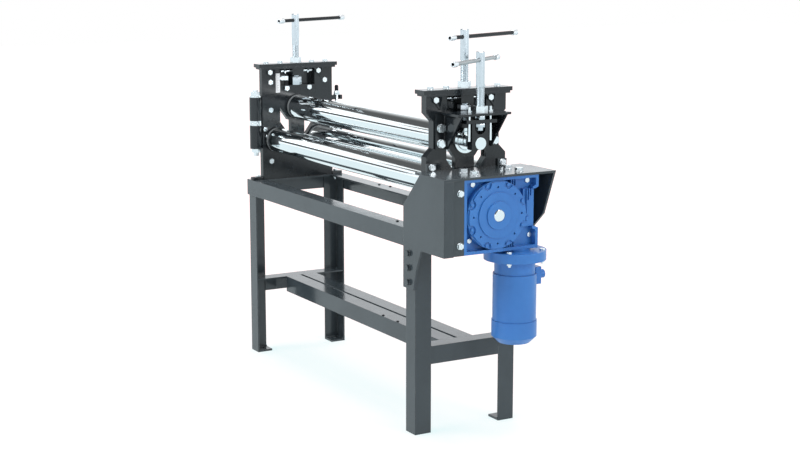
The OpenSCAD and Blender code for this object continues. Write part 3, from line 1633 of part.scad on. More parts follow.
leg(-1, -1);  // leg_front_left
leg(1, -1);  // leg_front_right
leg(-1, 1);  // leg_rear_left
leg(1, 1);  // leg_rear_right
long_rail(-1);  // front_rail
long_rail(1);  // rear_rail
cross_rail(-1);  // left_cross_rail
cross_rail(1);  // right_cross_rail
crossbar(-1);  // left_crossbar
crossbar(1);  // right_crossbar
lower_rail(-1);  // lower_front_rail
lower_rail(1);  // lower_rear_rail
frame_bolts();
left_housing();
left_fasteners();
hinge_pin();
lower_roll_bushes();
right_housing();
cap(right_mid_x, right_plate_t);  // right_cap
clamp_bolts(right_mid_x);  // right_clamp_bolts
right_fasteners();
tail_bracket();
tail_guide_rods();
tail_nut();
console_front_plate();
console_rear_plate();
console_top_plate();
gearbox_mounting_plate();
gearbox_housing();
gearbox_cover();
gearmotor_bolts();
motor_flange();
motor_body();
motor_cowl();
cable_gland();
drop_end();
cap(left_mid_x, left_plate_t);  // drop_end_cap
clamp_bolts(left_mid_x);  // drop_end_clamp_bolts
drop_end_fasteners();
roll_scale();
left_carriage();
left_top_bush();
scale_pointer();
main_screw(left_mid_x);  // left_screw
main_bar(left_mid_x, left_bar_slide);  // left_t_bar
right_carriage();
right_top_bearing();
main_screw(right_mid_x);  // right_screw
main_bar(right_mid_x, right_bar_slide);  // right_t_bar
tail_block();
tail_screw();
tail_t_bar();
top_roll();
low_roll(-low_roll_pitch / 2);  // front_roll
low_roll(low_roll_pitch / 2);  // rear_roll
roll_gear(-1);  // front_roll_gear
roll_gear(1);  // rear_roll_gear
drive_gear();
drive_shaft();
latch_bolt();
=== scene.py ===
import math

import bpy
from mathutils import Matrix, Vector


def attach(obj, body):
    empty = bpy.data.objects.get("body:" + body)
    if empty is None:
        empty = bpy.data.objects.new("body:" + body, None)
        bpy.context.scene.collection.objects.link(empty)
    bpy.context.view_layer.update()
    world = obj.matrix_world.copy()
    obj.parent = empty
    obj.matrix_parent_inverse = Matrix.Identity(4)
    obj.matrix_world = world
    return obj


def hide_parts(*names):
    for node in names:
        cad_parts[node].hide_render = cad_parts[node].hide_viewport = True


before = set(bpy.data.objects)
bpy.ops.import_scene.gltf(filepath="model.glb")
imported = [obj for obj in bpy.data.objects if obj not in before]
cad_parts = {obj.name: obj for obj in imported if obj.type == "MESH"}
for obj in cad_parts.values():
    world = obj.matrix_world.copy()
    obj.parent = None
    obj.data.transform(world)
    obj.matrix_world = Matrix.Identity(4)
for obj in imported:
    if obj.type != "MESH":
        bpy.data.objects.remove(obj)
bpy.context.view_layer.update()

# Camera
# A long lens at eye height, beyond the motor's end of the machine and in front of it,
# looking a little down along the rolls.
CAMERA_PLACE = (5.165, -2.840, 1.678)
CAMERA_TURN = 60.15
CAMERA_TILT = 10.24
LENS_MM, SENSOR_MM = 70.8, 36
FAR_CLIP = 60
bpy.ops.object.select_all(action="DESELECT")
bpy.ops.object.camera_add(
    location=CAMERA_PLACE,
    rotation=(math.radians(90 - CAMERA_TILT), 0, math.radians(CAMERA_TURN)))
camera = bpy.context.object
camera.name = "camera"
camera.data.lens = LENS_MM
camera.data.sensor_width = SENSOR_MM
camera.data.clip_end = FAR_CLIP
bpy.context.scene.camera = camera
bpy.context.scene.view_settings.view_transform = "Standard"


# Painted angle iron of the stand
# Four legs, the rails and the crossbars are hot-rolled angle iron, welded and sprayed
# with a hard gloss coat of dark grey, which levels well but thins at the rolled edges.
class Value:
    """A socket in a node tree, with arithmetic that adds Math nodes."""

    def __init__(self, finish, socket):
        self.finish, self.socket = finish, socket

    def _math(self, operation, *values):
        return self.finish.node("ShaderNodeMath", {"operation": operation}, list(values))

    def __add__(self, other):
        return self._math("ADD", self, other)

    __radd__ = __add__

    def __sub__(self, other):
        return self._math("SUBTRACT", self, other)

    def __rsub__(self, other):
        return self._math("SUBTRACT", other, self)

    def __mul__(self, other):
        return self._math("MULTIPLY", self, other)

    __rmul__ = __mul__

    def __gt__(self, other):
        return self._math("GREATER_THAN", self, other)

    def __lt__(self, other):
        return self._math("LESS_THAN", self, other)

    def __abs__(self):
        return self._math("ABSOLUTE", self)

    def __mod__(self, other):
        return self._math("FLOORED_MODULO", self, other)

    def ramp(self, low, high):
        """0 below low and 1 above high, with a smooth step between them."""
        return self.finish.node("ShaderNodeMapRange", {"interpolation_type": "SMOOTHSTEP"},
                                {"Value": self, "From Min": low, "From Max": high})


class Finish:
    """The node tree of a material or of the world, with its nodes added one by one."""

    def __init__(self, data):
        data.use_nodes = True
        self.data, self.tree = data, data.node_tree

    def node(self, kind, settings=None, sockets=None, out=0):
        """Adds a node, first its settings and then its sockets, and gives one output."""
        made = self.tree.nodes.new(kind)
        for key, value in (settings or {}).items():
            setattr(made, key, value)
        pairs = enumerate(sockets) if isinstance(sockets, list) else (sockets or {}).items()
        for key, value in pairs:
            self.feed(made.inputs[key], value)
        return Value(self, made.outputs[out])

    def feed(self, socket, value):
        """Links a socket to a node's output, or sets its number or colour."""
        if isinstance(value, Value):
            self.tree.links.new(value.socket, socket)
        elif isinstance(value, tuple) and len(value) == 3 and socket.type == "RGBA":
            socket.default_value = (*value, 1)
        else:
            socket.default_value = value

    def shade(self, **sockets):
        """Sets the sockets of the material's own shader."""
        for key, value in sockets.items():
            self.feed(self.tree.nodes["Principled BSDF"].inputs[key.replace("_", " ")], value)
        return self.data

    def place(self, centre=(0, 0, 0), scale=(1, 1, 1)):
        """Object coordinates with their origin at centre, then stretched."""
        here = self.node("ShaderNodeTexCoord", out="Object")
        moved = self.node("ShaderNodeVectorMath", {"operation": "SUBTRACT"}, [here, centre])
        return self.node("ShaderNodeMapping", {}, {"Vector": moved, "Scale": scale})

    def part(self, vector, axis):
        """One number of a vector: X, Y or Z."""
        return self.node("ShaderNodeSeparateXYZ", {}, [vector], out=axis)

    def noise(self, size, detail=3, stretch=(1, 1, 1)):
        """Soft noise with features of about the given size in metres."""
        return self.node("ShaderNodeTexNoise", {}, {
            "Vector": self.place(scale=stretch), "Scale": 1 / size, "Detail": detail,
            "Roughness": 0.55})

    def mix(self, mask, first, second):
        """Colour that goes from first to second as mask goes from 0 to 1."""
        factor, first_colour, second_colour, mixed_colour = 0, 6, 7, 2
        return self.node("ShaderNodeMix", {"data_type": "RGBA"},
                         {factor: mask, first_colour: first, second_colour: second},
                         out=mixed_colour)

    def rounded(self, radius):
        """The surface's normal, as if its edges were rounded to the radius."""
        return self.node("ShaderNodeBevel", {"samples": 6}, {"Radius": radius})

    def bumps(self, *layers, edge):
        """Normal from layers of (height, distance in metres), over edges rounded by edge."""
        normal = self.rounded(edge)
        for height, distance in layers:
            normal = self.node("ShaderNodeBump", {}, {
                "Height": height, "Distance": distance, "Strength": 1.0, "Normal": normal})
        return normal

    def edge_wear(self, radius):
        """1 on edges that a bevel of the radius would round, 0 on flat faces."""
        round_edges = self.rounded(radius)
        flat = self.node("ShaderNodeNewGeometry", out="Normal")
        facing = self.node("ShaderNodeVectorMath", {"operation": "DOT_PRODUCT"},
                           [round_edges, flat], out="Value")
        return (1 - facing).ramp(0.02, 0.3)


def new_finish(name):
    """The finish of a new material."""
    return Finish(bpy.data.materials.new(name))


def paint(name, dark, light, gloss, peel=0.0022, edge=0.0012, worn=(0.30, 0.31, 0.32)):
    """Sprayed coat from dark to light, with orange peel and paler, thinner edges."""
    peel_depth, rub_depth = 0.000012, 0.00003
    coat = new_finish(name)
    cloud = coat.noise(0.22, detail=4).ramp(0.3, 0.7)
    speck = coat.noise(0.012, detail=2)
    body = coat.mix(cloud * 0.8 + speck * 0.2, dark, light)
    wear = coat.edge_wear(edge) * coat.noise(0.03).ramp(0.46, 0.72)
    rub = coat.noise(0.05, detail=5).ramp(0.35, 0.75)
    peel_bumps = coat.noise(peel, detail=1)
    return coat.shade(
        Base_Color=coat.mix(wear * 0.5, body, worn),
        Roughness=gloss + rub * 0.07,
        Normal=coat.bumps((peel_bumps, peel_depth), (rub, rub_depth), edge=edge))


def dress(material, *names):
    """Gives CAD nodes a material."""
    for name in names:
        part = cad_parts[name]
        part.data.materials.clear()
        part.data.materials.append(material)


FRAME_DARK = (0.034, 0.045, 0.053)
FRAME_LIGHT = (0.044, 0.058, 0.067)
frame_paint = paint("frame_paint", FRAME_DARK, FRAME_LIGHT, gloss=0.12, edge=0.0025)
dress(frame_paint, "leg_front_left", "leg_front_right", "leg_rear_left", "leg_rear_right",
      "front_rail", "rear_rail", "left_cross_rail", "right_cross_rail",
      "left_crossbar", "right_crossbar", "lower_front_rail", "lower_rear_rail", "frame_bolts")

# Console of the drive
# Folded and welded steel plate, bolted to the right legs and coated with the stand's
# grey. It covers the gears, and a cross plate in it carries the gearmotor.
dress(frame_paint, "console_front_plate", "console_rear_plate", "console_top_plate")

# End housings, caps, carriages and tail bracket
# Flame-cut steel plate, ground on the face and sprayed gloss black. The plate behind the
# gearbox has the same black, flatter, and darker still with painted shade of its recess.
PLATE_DARK = (0.008, 0.011, 0.014)
PLATE_LIGHT = (0.015, 0.020, 0.024)
plate_paint = paint("plate_paint", PLATE_DARK, PLATE_LIGHT, gloss=0.14)
dress(plate_paint, "left_housing", "right_housing", "right_cap", "tail_bracket", "drop_end",
      "drop_end_cap", "left_carriage", "right_carriage", "tail_block")
# Black paint made darker with painted shade, for the recess behind the gearbox.
MOUNTING_SHADED_DARK = (0.0020, 0.0026, 0.0035)
MOUNTING_SHADED_LIGHT = (0.0035, 0.0045, 0.006)
dress(paint("mounting_plate_paint_and_shade", MOUNTING_SHADED_DARK, MOUNTING_SHADED_LIGHT, gloss=0.24),
      "gearbox_mounting_plate")

# Rolls
# Hardened steel, ground between centres and polished, so a fine circular grain runs
# round each roll under a mirror gloss.
ROLL_MIDDLE, ROLL_HALF = 0.0045, 0.6305
ROLL_COLOUR = (0.80, 0.86, 0.88)
DULL_BAND_W, DULL_PAST_END = 0.018, 0.0005
DULL_COLOUR = (0.22, 0.24, 0.25)
RING_DEPTH = 0.000003
STEEL_EDGE = 0.0008


def darker(colour, share):
    """A share of a colour's light."""
    return tuple(share * channel for channel in colour)


def turned_steel(name, colour, roughness, middle=0.0, dull_to=0.0):
    """Bright steel with fine rings round an axis along X, left dull near its ends."""
    steel = new_finish(name)
    rings = steel.noise(0.0007, detail=2, stretch=(1, 0.02, 0.02))
    film = steel.noise(0.09, detail=4, stretch=(0.4, 1, 1)).ramp(0.45, 0.8)
    tone = steel.mix(film * 0.3, colour, darker(colour, 0.85))
    rough = roughness + film * 0.03 + rings * 0.03
    metal = 1.0
    if dull_to:
        along = abs(steel.part(steel.place(), "X") - middle)
        dull = (along > dull_to - DULL_BAND_W) * (along < dull_to + DULL_PAST_END)
        tone = steel.mix(dull, tone, DULL_COLOUR)
        rough = rough + dull * 0.35
        metal = 1 - dull * 0.75
    return steel.shade(Metallic=metal, Base_Color=tone, Roughness=rough,
                       Normal=steel.bumps((rings, RING_DEPTH), edge=STEEL_EDGE))


roll_steel = turned_steel("polished_roll_steel", ROLL_COLOUR, roughness=0.045,
                          middle=ROLL_MIDDLE, dull_to=ROLL_HALF)
dress(roll_steel, "top_roll", "front_roll", "rear_roll")
shaft_steel = turned_steel("turned_shaft_steel", ROLL_COLOUR, roughness=0.09)
dress(shaft_steel, "drive_shaft", "right_top_bearing")

# Adjusting screws
# Bright-drawn bar with a turned trapezoidal thread below and a plain shank above, where
# the T-bar goes through. A hexagon collar bears on the carriage that the screw moves.
BRIGHT_ZINC, SCREW_ZINC = (0.80, 0.86, 0.89), (0.60, 0.665, 0.71)
BLACKENED = (0.02, 0.021, 0.023)
GRAIN_DEPTH = 0.000003
SAME_POINT = 1e-6
SCREW_R, SCREW_CHAMFER, BAR_HOLE_R = 0.015, 0.002, 0.00725
LEFT_X, RIGHT_X, TAIL_X = -0.6405, 0.653, 0.753
MAIN_TOP, MAIN_BAR_Z, MAIN_BAR_TURN = 1.386, 1.360, 24
MAIN_COLLAR_W, MAIN_COLLAR_LOW, MAIN_COLLAR_TOP = 0.040, 1.0983, 1.1323
MAIN_THREAD_LOW, LEFT_THREAD_TOP, RIGHT_THREAD_TOP = 1.1318, 1.262, 1.282
MAIN_NECK = [(0, 1.074), (0.010, 1.074), (0.011, 1.075), (0.011, 1.083), (0.010, 1.084),
             (0.008, 1.084), (0.008, 1.099), (0, 1.099)]
TAIL_TOP, TAIL_BAR_Z, TAIL_BAR_TURN = 1.317, 1.289, 34.7
TAIL_COLLAR_W, TAIL_COLLAR_LOW, TAIL_COLLAR_TOP = 0.032, 1.0903, 1.1047
# The thread's top cut misses the tooth's corners, where it would leave open edges.
TAIL_THREAD_LOW, TAIL_THREAD_TOP, TAIL_SHANK_LOW = 1.1042, 1.20018, 1.200
TAIL_NECK = [(0, 1.0648), (0.008, 1.0648), (0.008, 1.0905), (0, 1.0905)]
TAIL_NUT_LOW, TAIL_NUT_TOP = 1.0647, 1.0777
TAIL_TIP = [(0, 1.052), (0.009, 1.052), (0.011, 1.054), (0.011, 1.065), (0, 1.065)]


def plated(name, colour, roughness, dark_from=None, dark_to=None):
    """Zinc plating with small clouds in it, and blackened between two heights."""
    zinc = new_finish(name)
    cloud = zinc.noise(0.02, detail=4).ramp(0.4, 0.75)
    tone = zinc.mix(cloud * 0.6, colour, darker(colour, 0.82))
    if dark_to:
        height = zinc.part(zinc.place(), "Z")
        tone = zinc.mix((height > dark_from) * (height < dark_to), tone, BLACKENED)
    return zinc.shade(
        Metallic=1.0, Base_Color=tone, Roughness=roughness + cloud * 0.08,
        Normal=zinc.bumps((zinc.noise(0.0015), GRAIN_DEPTH), edge=STEEL_EDGE))


def start_at(point):
    """One vertex, in edit mode, to extrude an outline from."""
    bpy.ops.object.select_all(action="DESELECT")
    bpy.ops.mesh.primitive_plane_add(size=0.001)
    bpy.ops.object.mode_set(mode="EDIT")
    bpy.ops.mesh.select_mode(type="VERT")
    bpy.ops.mesh.select_all(action="SELECT")
    bpy.ops.mesh.merge(type="CENTER")
    bpy.ops.transform.translate(value=point)


def outline(points):
    """Edges through the points, each extruded from the one before."""
    start_at(points[0])
    for here, there in zip(points, points[1:]):
        bpy.ops.mesh.extrude_region_move(
            TRANSFORM_OT_translate={"value": Vector(there) - Vector(here)})
    bpy.ops.object.mode_set(mode="OBJECT")
    return bpy.context.object


def apply_modifier(piece, name, kind, **settings):
    """Adds a modifier with its settings and applies it."""
    modifier = piece.modifiers.new(name, kind)
    for key, value in settings.items():
        setattr(modifier, key, value)
    bpy.context.view_layer.objects.active = piece
    bpy.ops.object.modifier_apply(modifier=name)


def turned(profile, steps=48):
    """A solid turned round Z from (radius, height) pairs that begin and end on the axis."""
    piece = outline([(radius, 0, height) for radius, height in profile])
    apply_modifier(piece, "turn", "SCREW", steps=steps, render_steps=steps,
                   use_merge_vertices=True, merge_threshold=SAME_POINT)
    close_up()
    return piece


def close_up():
    """Merges the active piece's doubles and turns its faces outwards."""
    bpy.ops.object.mode_set(mode="EDIT")
    bpy.ops.mesh.select_all(action="SELECT")
    bpy.ops.mesh.remove_doubles(threshold=SAME_POINT)
    bpy.ops.mesh.normals_make_consistent(inside=False)
    bpy.ops.object.mode_set(mode="OBJECT")


def thread(low, high, radius, depth=0.0024, pitch=0.006, steps=40):
    """Trapezoidal thread round Z: one tooth's outline wound upwards, its ends cut flat."""
    spare_turns = 2
    root, first = radius - depth, low - spare_turns * pitch
    tooth = ((root, 0), (root, 0.30), (radius, 0.42), (radius, 0.78), (root, 0.90), (root, 1))
    piece = outline([(reach, 0, first + share * pitch) for reach, share in tooth])
    turns = math.ceil((high - low) / pitch) + 2 * spare_turns
    apply_modifier(piece, "wind", "SCREW", steps=steps, render_steps=steps, screw_offset=pitch,
                   iterations=turns)
    close_up()
    for height, keep_above in ((low, True), (high, False)):
        bpy.ops.object.mode_set(mode="EDIT")
        bpy.ops.mesh.select_all(action="SELECT")
        bpy.ops.mesh.bisect(plane_co=(0, 0, height), plane_no=(0, 0, 1), use_fill=True,
                            clear_inner=keep_above, clear_outer=not keep_above)
        bpy.ops.object.mode_set(mode="OBJECT")
    close_up()
    return piece


def hexagon(across, low, high, turn=0.0, chamfer=0.0012):
    """Hexagon collar round Z with both rims chamfered."""
    bpy.ops.object.select_all(action="DESELECT")
    bpy.ops.mesh.primitive_cylinder_add(
        vertices=6, radius=across / 2 / math.cos(math.radians(30)), depth=high - low)
    piece = bpy.context.object
    bpy.ops.object.mode_set(mode="EDIT")
    bpy.ops.mesh.select_all(action="SELECT")
    bpy.ops.transform.translate(value=(0, 0, (low + high) / 2))
    bpy.ops.object.mode_set(mode="OBJECT")
    piece.rotation_euler.z = math.radians(turn)
    bpy.ops.object.transform_apply(location=False, rotation=True, scale=False)
    select_edges(piece, lambda a, b: abs(a.z - b.z) < SAME_POINT)
    bpy.ops.mesh.bevel(offset=chamfer, segments=2)
    bpy.ops.object.mode_set(mode="OBJECT")
    return piece


def select_edges(piece, wanted):
    """Leaves only the wanted edges selected, in edit mode."""
    bpy.ops.object.mode_set(mode="EDIT")
    bpy.ops.mesh.select_mode(type="EDGE")
    bpy.ops.mesh.select_all(action="DESELECT")
    bpy.ops.object.mode_set(mode="OBJECT")
    points = piece.data.vertices
    for edge in piece.data.edges:
        edge.select = wanted(*(points[index].co for index in edge.vertices))
    bpy.ops.object.mode_set(mode="EDIT")


def drill(piece, radius, height, turn):
    """A level hole through a piece round Z."""
    bpy.ops.object.select_all(action="DESELECT")
    bpy.ops.mesh.primitive_cylinder_add(
        vertices=32, radius=radius, depth=0.1, location=(0, 0, height),
        rotation=(math.radians(90), 0, math.radians(turn)))
    cut_away(piece, bpy.context.object)


def cut_away(piece, cutter):
    """Cuts the cutter's shape out of a piece and removes the cutter."""
    apply_modifier(piece, "cut", "BOOLEAN", operation="DIFFERENCE", object=cutter,
                   solver="EXACT")
    bpy.data.objects.remove(cutter)


def assemble(name, parts, place=(0, 0, 0), turn=(0, 0, 0), angle=30):
    """Joins the parts into one piece, turned and moved into its place."""
    bpy.ops.object.select_all(action="DESELECT")
    for part in parts:
        part.select_set(True)
    bpy.context.view_layer.objects.active = parts[0]
    if len(parts) > 1:
        bpy.ops.object.join()
    piece = bpy.context.object
    piece.name = piece.data.name = name
    piece.location, piece.rotation_euler = place, turn
    bpy.ops.object.transform_apply(location=True, rotation=True, scale=True)
    bpy.ops.object.shade_smooth_by_angle(angle=math.radians(angle))
    return piece


def settle(piece, body, slot, *replaced):
    """Hangs a finished piece on the body it rides on and hides the nodes it stands for; slot
    is not used.
    """
    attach(piece, body)
    if replaced:
        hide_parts(*replaced)


screw_steel = plated("screw_steel", SCREW_ZINC, roughness=0.17)


def shank(low, high, bar_height, bar_turn):
    """Plain upper part of a screw, with a chamfered top and the hole for its T-bar."""
    piece = turned([(0, low), (SCREW_R, low), (SCREW_R, high - SCREW_CHAMFER),
                    (SCREW_R - SCREW_CHAMFER, high), (0, high)])
    drill(piece, BAR_HOLE_R, bar_height, bar_turn)
    return piece


def main_screw(name, body, node, centre_x, thread_top):
    """Main screw: thread, shank, hexagon collar, and the neck and button in the carriage."""
    into_shank = 0.0001
    parts = [
        shank(thread_top, MAIN_TOP, MAIN_BAR_Z, MAIN_BAR_TURN),
        thread(MAIN_THREAD_LOW, thread_top + into_shank, SCREW_R),
        hexagon(MAIN_COLLAR_W, MAIN_COLLAR_LOW, MAIN_COLLAR_TOP, turn=30),
        turned(MAIN_NECK),
    ]
    piece = assemble(name, parts, place=(centre_x, 0, 0))
    piece.data.materials.append(screw_steel)
    settle(piece, body, "bright_zinc", node)


main_screw("left_main_screw", "left_screw_body", "left_screw", LEFT_X, LEFT_THREAD_TOP)
main_screw("right_main_screw", "right_screw_body", "right_screw", RIGHT_X, RIGHT_THREAD_TOP)

tail_parts = [
    shank(TAIL_SHANK_LOW, TAIL_TOP, TAIL_BAR_Z, TAIL_BAR_TURN),
    thread(TAIL_THREAD_LOW, TAIL_THREAD_TOP, SCREW_R),
    hexagon(TAIL_COLLAR_W, TAIL_COLLAR_LOW, TAIL_COLLAR_TOP),
    turned(TAIL_NECK),
    hexagon(TAIL_COLLAR_W, TAIL_NUT_LOW, TAIL_NUT_TOP),
    turned(TAIL_TIP),
]
tail_piece = assemble("tail_adjusting_screw", tail_parts, place=(TAIL_X, 0, 0))
tail_piece.data.materials.append(screw_steel)
settle(tail_piece, "tail_screw_body", "bright_zinc", "tail_screw")

# T-bars
# Round bar that slides through its screw, with a collar pressed on each end. The long
# ones are blackened with bright collars, and the tail screw's is plain ground steel. The
# bore in each collar's end is coloured near black, as painted shade in the hollow.
BAR_BLACK, BAR_GREY = (0.035, 0.037, 0.040), (0.36, 0.385, 0.395)
COLLAR_GREY, BORE_SHADE_BLACK = (0.80, 0.84, 0.87), (0.012, 0.012, 0.013)
blacked = plated("blackened_bar", BAR_BLACK, roughness=0.24)
ground_bar = plated("ground_bar", BAR_GREY, roughness=0.24)
collar_steel = plated("collar_steel", COLLAR_GREY, roughness=0.30)
# Near-black painted shade for the hollow of each collar's end bore.
bore_painted_shade = plated("end_bore_painted_shade", BORE_SHADE_BLACK, roughness=0.4)
LONG_BAR, TAIL_BAR = 0.416, 0.384
BAR_R, BAR_INSET = 0.007, 0.010
COLLAR_R, COLLAR_L, COLLAR_RIM = 0.010, 0.028, 0.0012
END_BORE_R, END_BORE_DEPTH, END_BORE_TIP, BORED_L = 0.0052, 0.006, 0.007, 0.008


def end_collar(outer_end, sign):
    """Collar with rounded rims and a blind bore in its outer face, along Z."""
    inner_end = outer_end - sign * COLLAR_L
    rim = sign * COLLAR_RIM
    return turned([
        (0, inner_end), (COLLAR_R - COLLAR_RIM, inner_end), (COLLAR_R, inner_end + rim),
        (COLLAR_R, outer_end - rim), (COLLAR_R - COLLAR_RIM / 3, outer_end - 0.3 * rim),
        (COLLAR_R - COLLAR_RIM, outer_end), (END_BORE_R + COLLAR_RIM / 2, outer_end),
        (END_BORE_R, outer_end - 0.5 * rim), (END_BORE_R, outer_end - sign * END_BORE_DEPTH),
        (0, outer_end - sign * END_BORE_TIP)], steps=32)


def t_bar(name, node, body, slot, centre_x, height, turn, slide, length, bar_finish):
    """Bar of a length, slid along its hole, with its two collars."""
    low, high = slide - length / 2, slide + length / 2
    bar = turned([(0, low + BAR_INSET), (BAR_R, low + BAR_INSET), (BAR_R, high - BAR_INSET),
                  (0, high - BAR_INSET)], steps=32)
    collars = [end_collar(low, -1), end_collar(high, 1)]
    for part, finishes in ((bar, [bar_finish]), (collars[0], [collar_steel, bore_painted_shade]),
                           (collars[1], [collar_steel, bore_painted_shade])):
        for finish in finishes:
            part.data.materials.append(finish)
    # The faces inside each end bore take the near-black painted shade.
    for collar in collars:
        for face in collar.data.polygons:
            middle = Vector((face.center.x, face.center.y)).length
            if middle < END_BORE_R and abs(face.center.z - slide) > length / 2 - BORED_L:
                face.material_index = 1
    piece = assemble(name, [bar, *collars], place=(centre_x, 0, height),
                     turn=(math.radians(-90), 0, math.radians(turn)))
    settle(piece, body, slot, node)


t_bar("left_sliding_bar", "left_t_bar", "left_bar_body", "dark_steel", LEFT_X, MAIN_BAR_Z,
      MAIN_BAR_TURN, slide=0.106, length=LONG_BAR, bar_finish=blacked)
t_bar("right_sliding_bar", "right_t_bar", "right_bar_body", "dark_steel", RIGHT_X, MAIN_BAR_Z,
      MAIN_BAR_TURN, slide=0.120, length=LONG_BAR, bar_finish=blacked)
t_bar("tail_sliding_bar", "tail_t_bar", "tail_bar_body", "bright_zinc", TAIL_X, TAIL_BAR_Z,
      TAIL_BAR_TURN, slide=-0.038, length=TAIL_BAR, bar_finish=ground_bar)

# Bolts, nuts and rods
# Zinc-plated steel: bright, faintly blue, with small clouds in the plating and the
# corners of the hexagons rounded by the forging.
zinc = plated("bright_zinc", BRIGHT_ZINC, roughness=0.22)
dress(zinc, "left_fasteners", "hinge_pin", "right_clamp_bolts", "right_fasteners",
      "tail_guide_rods", "tail_nut", "gearmotor_bolts", "drop_end_clamp_bolts",
      "drop_end_fasteners")

# Scale pointer
# Cut from zinc-plated strip and bolted to the left carriage. Its stem is blackened, so
# that only the tip stands out.
POINTER_STEM_LOW, POINTER_STEM_TOP = 1.0965, 1.1195
pointer_steel = plated("pointer_steel", BRIGHT_ZINC, roughness=0.25,
                       dark_from=POINTER_STEM_LOW, dark_to=POINTER_STEM_TOP)
dress(pointer_steel, "scale_pointer")

# Swing bolt of the latch
# Forged eye on a pin between the housing's ears, a stem with a blackened, domed end, and
# the nut and washer that clamp the drop end's lug.
SWING_Y, PIVOT_Z = 0.187, 0.912
EYE_R, EYE_FLAT_R, EYE_HALF, EYE_CHAMFER = 0.017, 0.015, 0.008, 0.002
PIN_R, PIN_HALF = 0.006, 0.0173
STEM_R, STEM_DOME = 0.008, [(0.008, 1.083), (0.0066, 1.0865), (0.004, 1.0885), (0, 1.089)]
WASHER_R, WASHER_LOW, WASHER_TOP = 0.0145, 1.0483, 1.0505
CLAMP_NUT_W, CLAMP_NUT_TOP = 0.024, 1.0645
STEM_DARK_FROM, STEM_DARK_TO = 1.0655, 1.2
eye = turned([(0, -EYE_HALF), (EYE_FLAT_R, -EYE_HALF), (EYE_R, -EYE_HALF + EYE_CHAMFER),
              (EYE_R, EYE_HALF - EYE_CHAMFER), (EYE_FLAT_R, EYE_HALF), (0, EYE_HALF)])
pin = turned([(0, -PIN_HALF), (PIN_R, -PIN_HALF), (PIN_R, PIN_HALF), (0, PIN_HALF)])
for part in (eye, pin):
    part.rotation_euler.x = math.radians(90)
    part.location.z = PIVOT_Z
    bpy.ops.object.select_all(action="DESELECT")
    part.select_set(True)
    bpy.ops.object.transform_apply(location=True, rotation=True, scale=False)
stem = turned([(0, PIVOT_Z), (STEM_R, PIVOT_Z), *STEM_DOME])
washer = turned([(0, WASHER_LOW), (WASHER_R, WASHER_LOW), (WASHER_R, WASHER_TOP),
                 (0, WASHER_TOP)])
clamp_nut = hexagon(CLAMP_NUT_W, WASHER_TOP, CLAMP_NUT_TOP, turn=12)
swing_bolt = assemble("swing_bolt", [stem, eye, pin, washer, clamp_nut],
                      place=(LEFT_X, SWING_Y, 0))
latch_steel = plated("latch_steel", BRIGHT_ZINC, roughness=0.22, dark_from=STEM_DARK_FROM,
                     dark_to=STEM_DARK_TO)
swing_bolt.data.materials.append(latch_steel)
settle(swing_bolt, "latch", "bright_zinc", "latch_bolt")

# Gears
# Hobbed from blackened steel. One on the drive shaft turns one on each lower roll,
# hidden in the console.
GEAR_BLACK = (0.055, 0.055, 0.06)
black_steel = plated("blackened_steel", GEAR_BLACK, roughness=0.3)
dress(black_steel, "front_roll_gear", "rear_roll_gear", "drive_gear")

# Bushes
# Turned from bronze and pressed into the housings and the carriage, with a journal
# running in each.
BRONZE = (0.55, 0.34, 0.16)
bronze = turned_steel("bronze", BRONZE, roughness=0.28)
dress(bronze, "lower_roll_bushes", "left_top_bush")

# Gearmotor
# Cast aluminium housing and steel motor, sprayed with one blue enamel and bolted to the
# mounting plate in the console.
BLUE_DARK = (0.025, 0.145, 0.46)
BLUE_LIGHT = (0.037, 0.190, 0.54)
BLUE_WORN = (0.20, 0.38, 0.68)
enamel = paint("blue_enamel", BLUE_DARK, BLUE_LIGHT, gloss=0.30, peel=0.003, worn=BLUE_WORN)
dress(enamel, "gearbox_housing", "gearbox_cover", "motor_flange", "motor_body", "motor_cowl",
      "cable_gland")

# Foot ends and bolts of the left housing
# The housing's black foot runs out over the two long rails, where a bolt with a nut under
# the rail holds each end. A large and a small bolt tie the hinge's web to the plate, and
# two more the latch's ears.
HOUSING_LOW_X, HOUSING_HIGH_X = -0.653, -0.628
HOUSING_HALF, FOOT_END, FOOT_LAP = 0.159, 0.206, 0.004
FOOT_TOP, RAIL_TOP, FLANGE_LOW = 0.730, 0.718, 0.712
FOOT_CORNER_R, FOOT_RIM = 0.006, 0.0012
FOOT_BOLT_Y, FOOT_BOLT_R, FOOT_HEX_W = 0.178, 0.005, 0.017
FOOT_HEAD_H, FOOT_NUT_H, FOOT_STEM_OUT, FOOT_STEM_TAPER = 0.007, 0.010, 0.018, 0.001
WEB_BOLTS = ((0.017, 0.150, 0.9245), (0.011, 0.1415, 0.895))  # width over flats, Y, Z


def foot_end(sign):
    """Plate on the rail with a rounded outer end."""
    bpy.ops.object.select_all(action="DESELECT")
    bpy.ops.mesh.primitive_cube_add(size=1)
    plate = bpy.context.object
    plate.scale = (HOUSING_HIGH_X - HOUSING_LOW_X, FOOT_END - HOUSING_HALF + FOOT_LAP,
                   FOOT_TOP - RAIL_TOP)
    plate.location = ((HOUSING_LOW_X + HOUSING_HIGH_X) / 2,
                      sign * (FOOT_END + HOUSING_HALF - FOOT_LAP) / 2,
                      (FOOT_TOP + RAIL_TOP) / 2)
    bpy.ops.object.transform_apply(location=True, rotation=False, scale=True)
    select_edges(plate, lambda a, b: abs(a.z - b.z) > 0.005 and sign * a.y > HOUSING_HALF)
    bpy.ops.mesh.bevel(offset=FOOT_CORNER_R, segments=4)
    bpy.ops.object.mode_set(mode="OBJECT")
    select_edges(plate, lambda a, b: min(a.z, b.z) > FOOT_TOP - 0.001)
    bpy.ops.mesh.bevel(offset=FOOT_RIM, segments=2)
    bpy.ops.object.mode_set(mode="OBJECT")
    return plate


foot_ends = assemble("left_foot_ends", [foot_end(-1), foot_end(1)])
foot_ends.data.materials.append(plate_paint)
settle(foot_ends, "stand", "plate_paint")


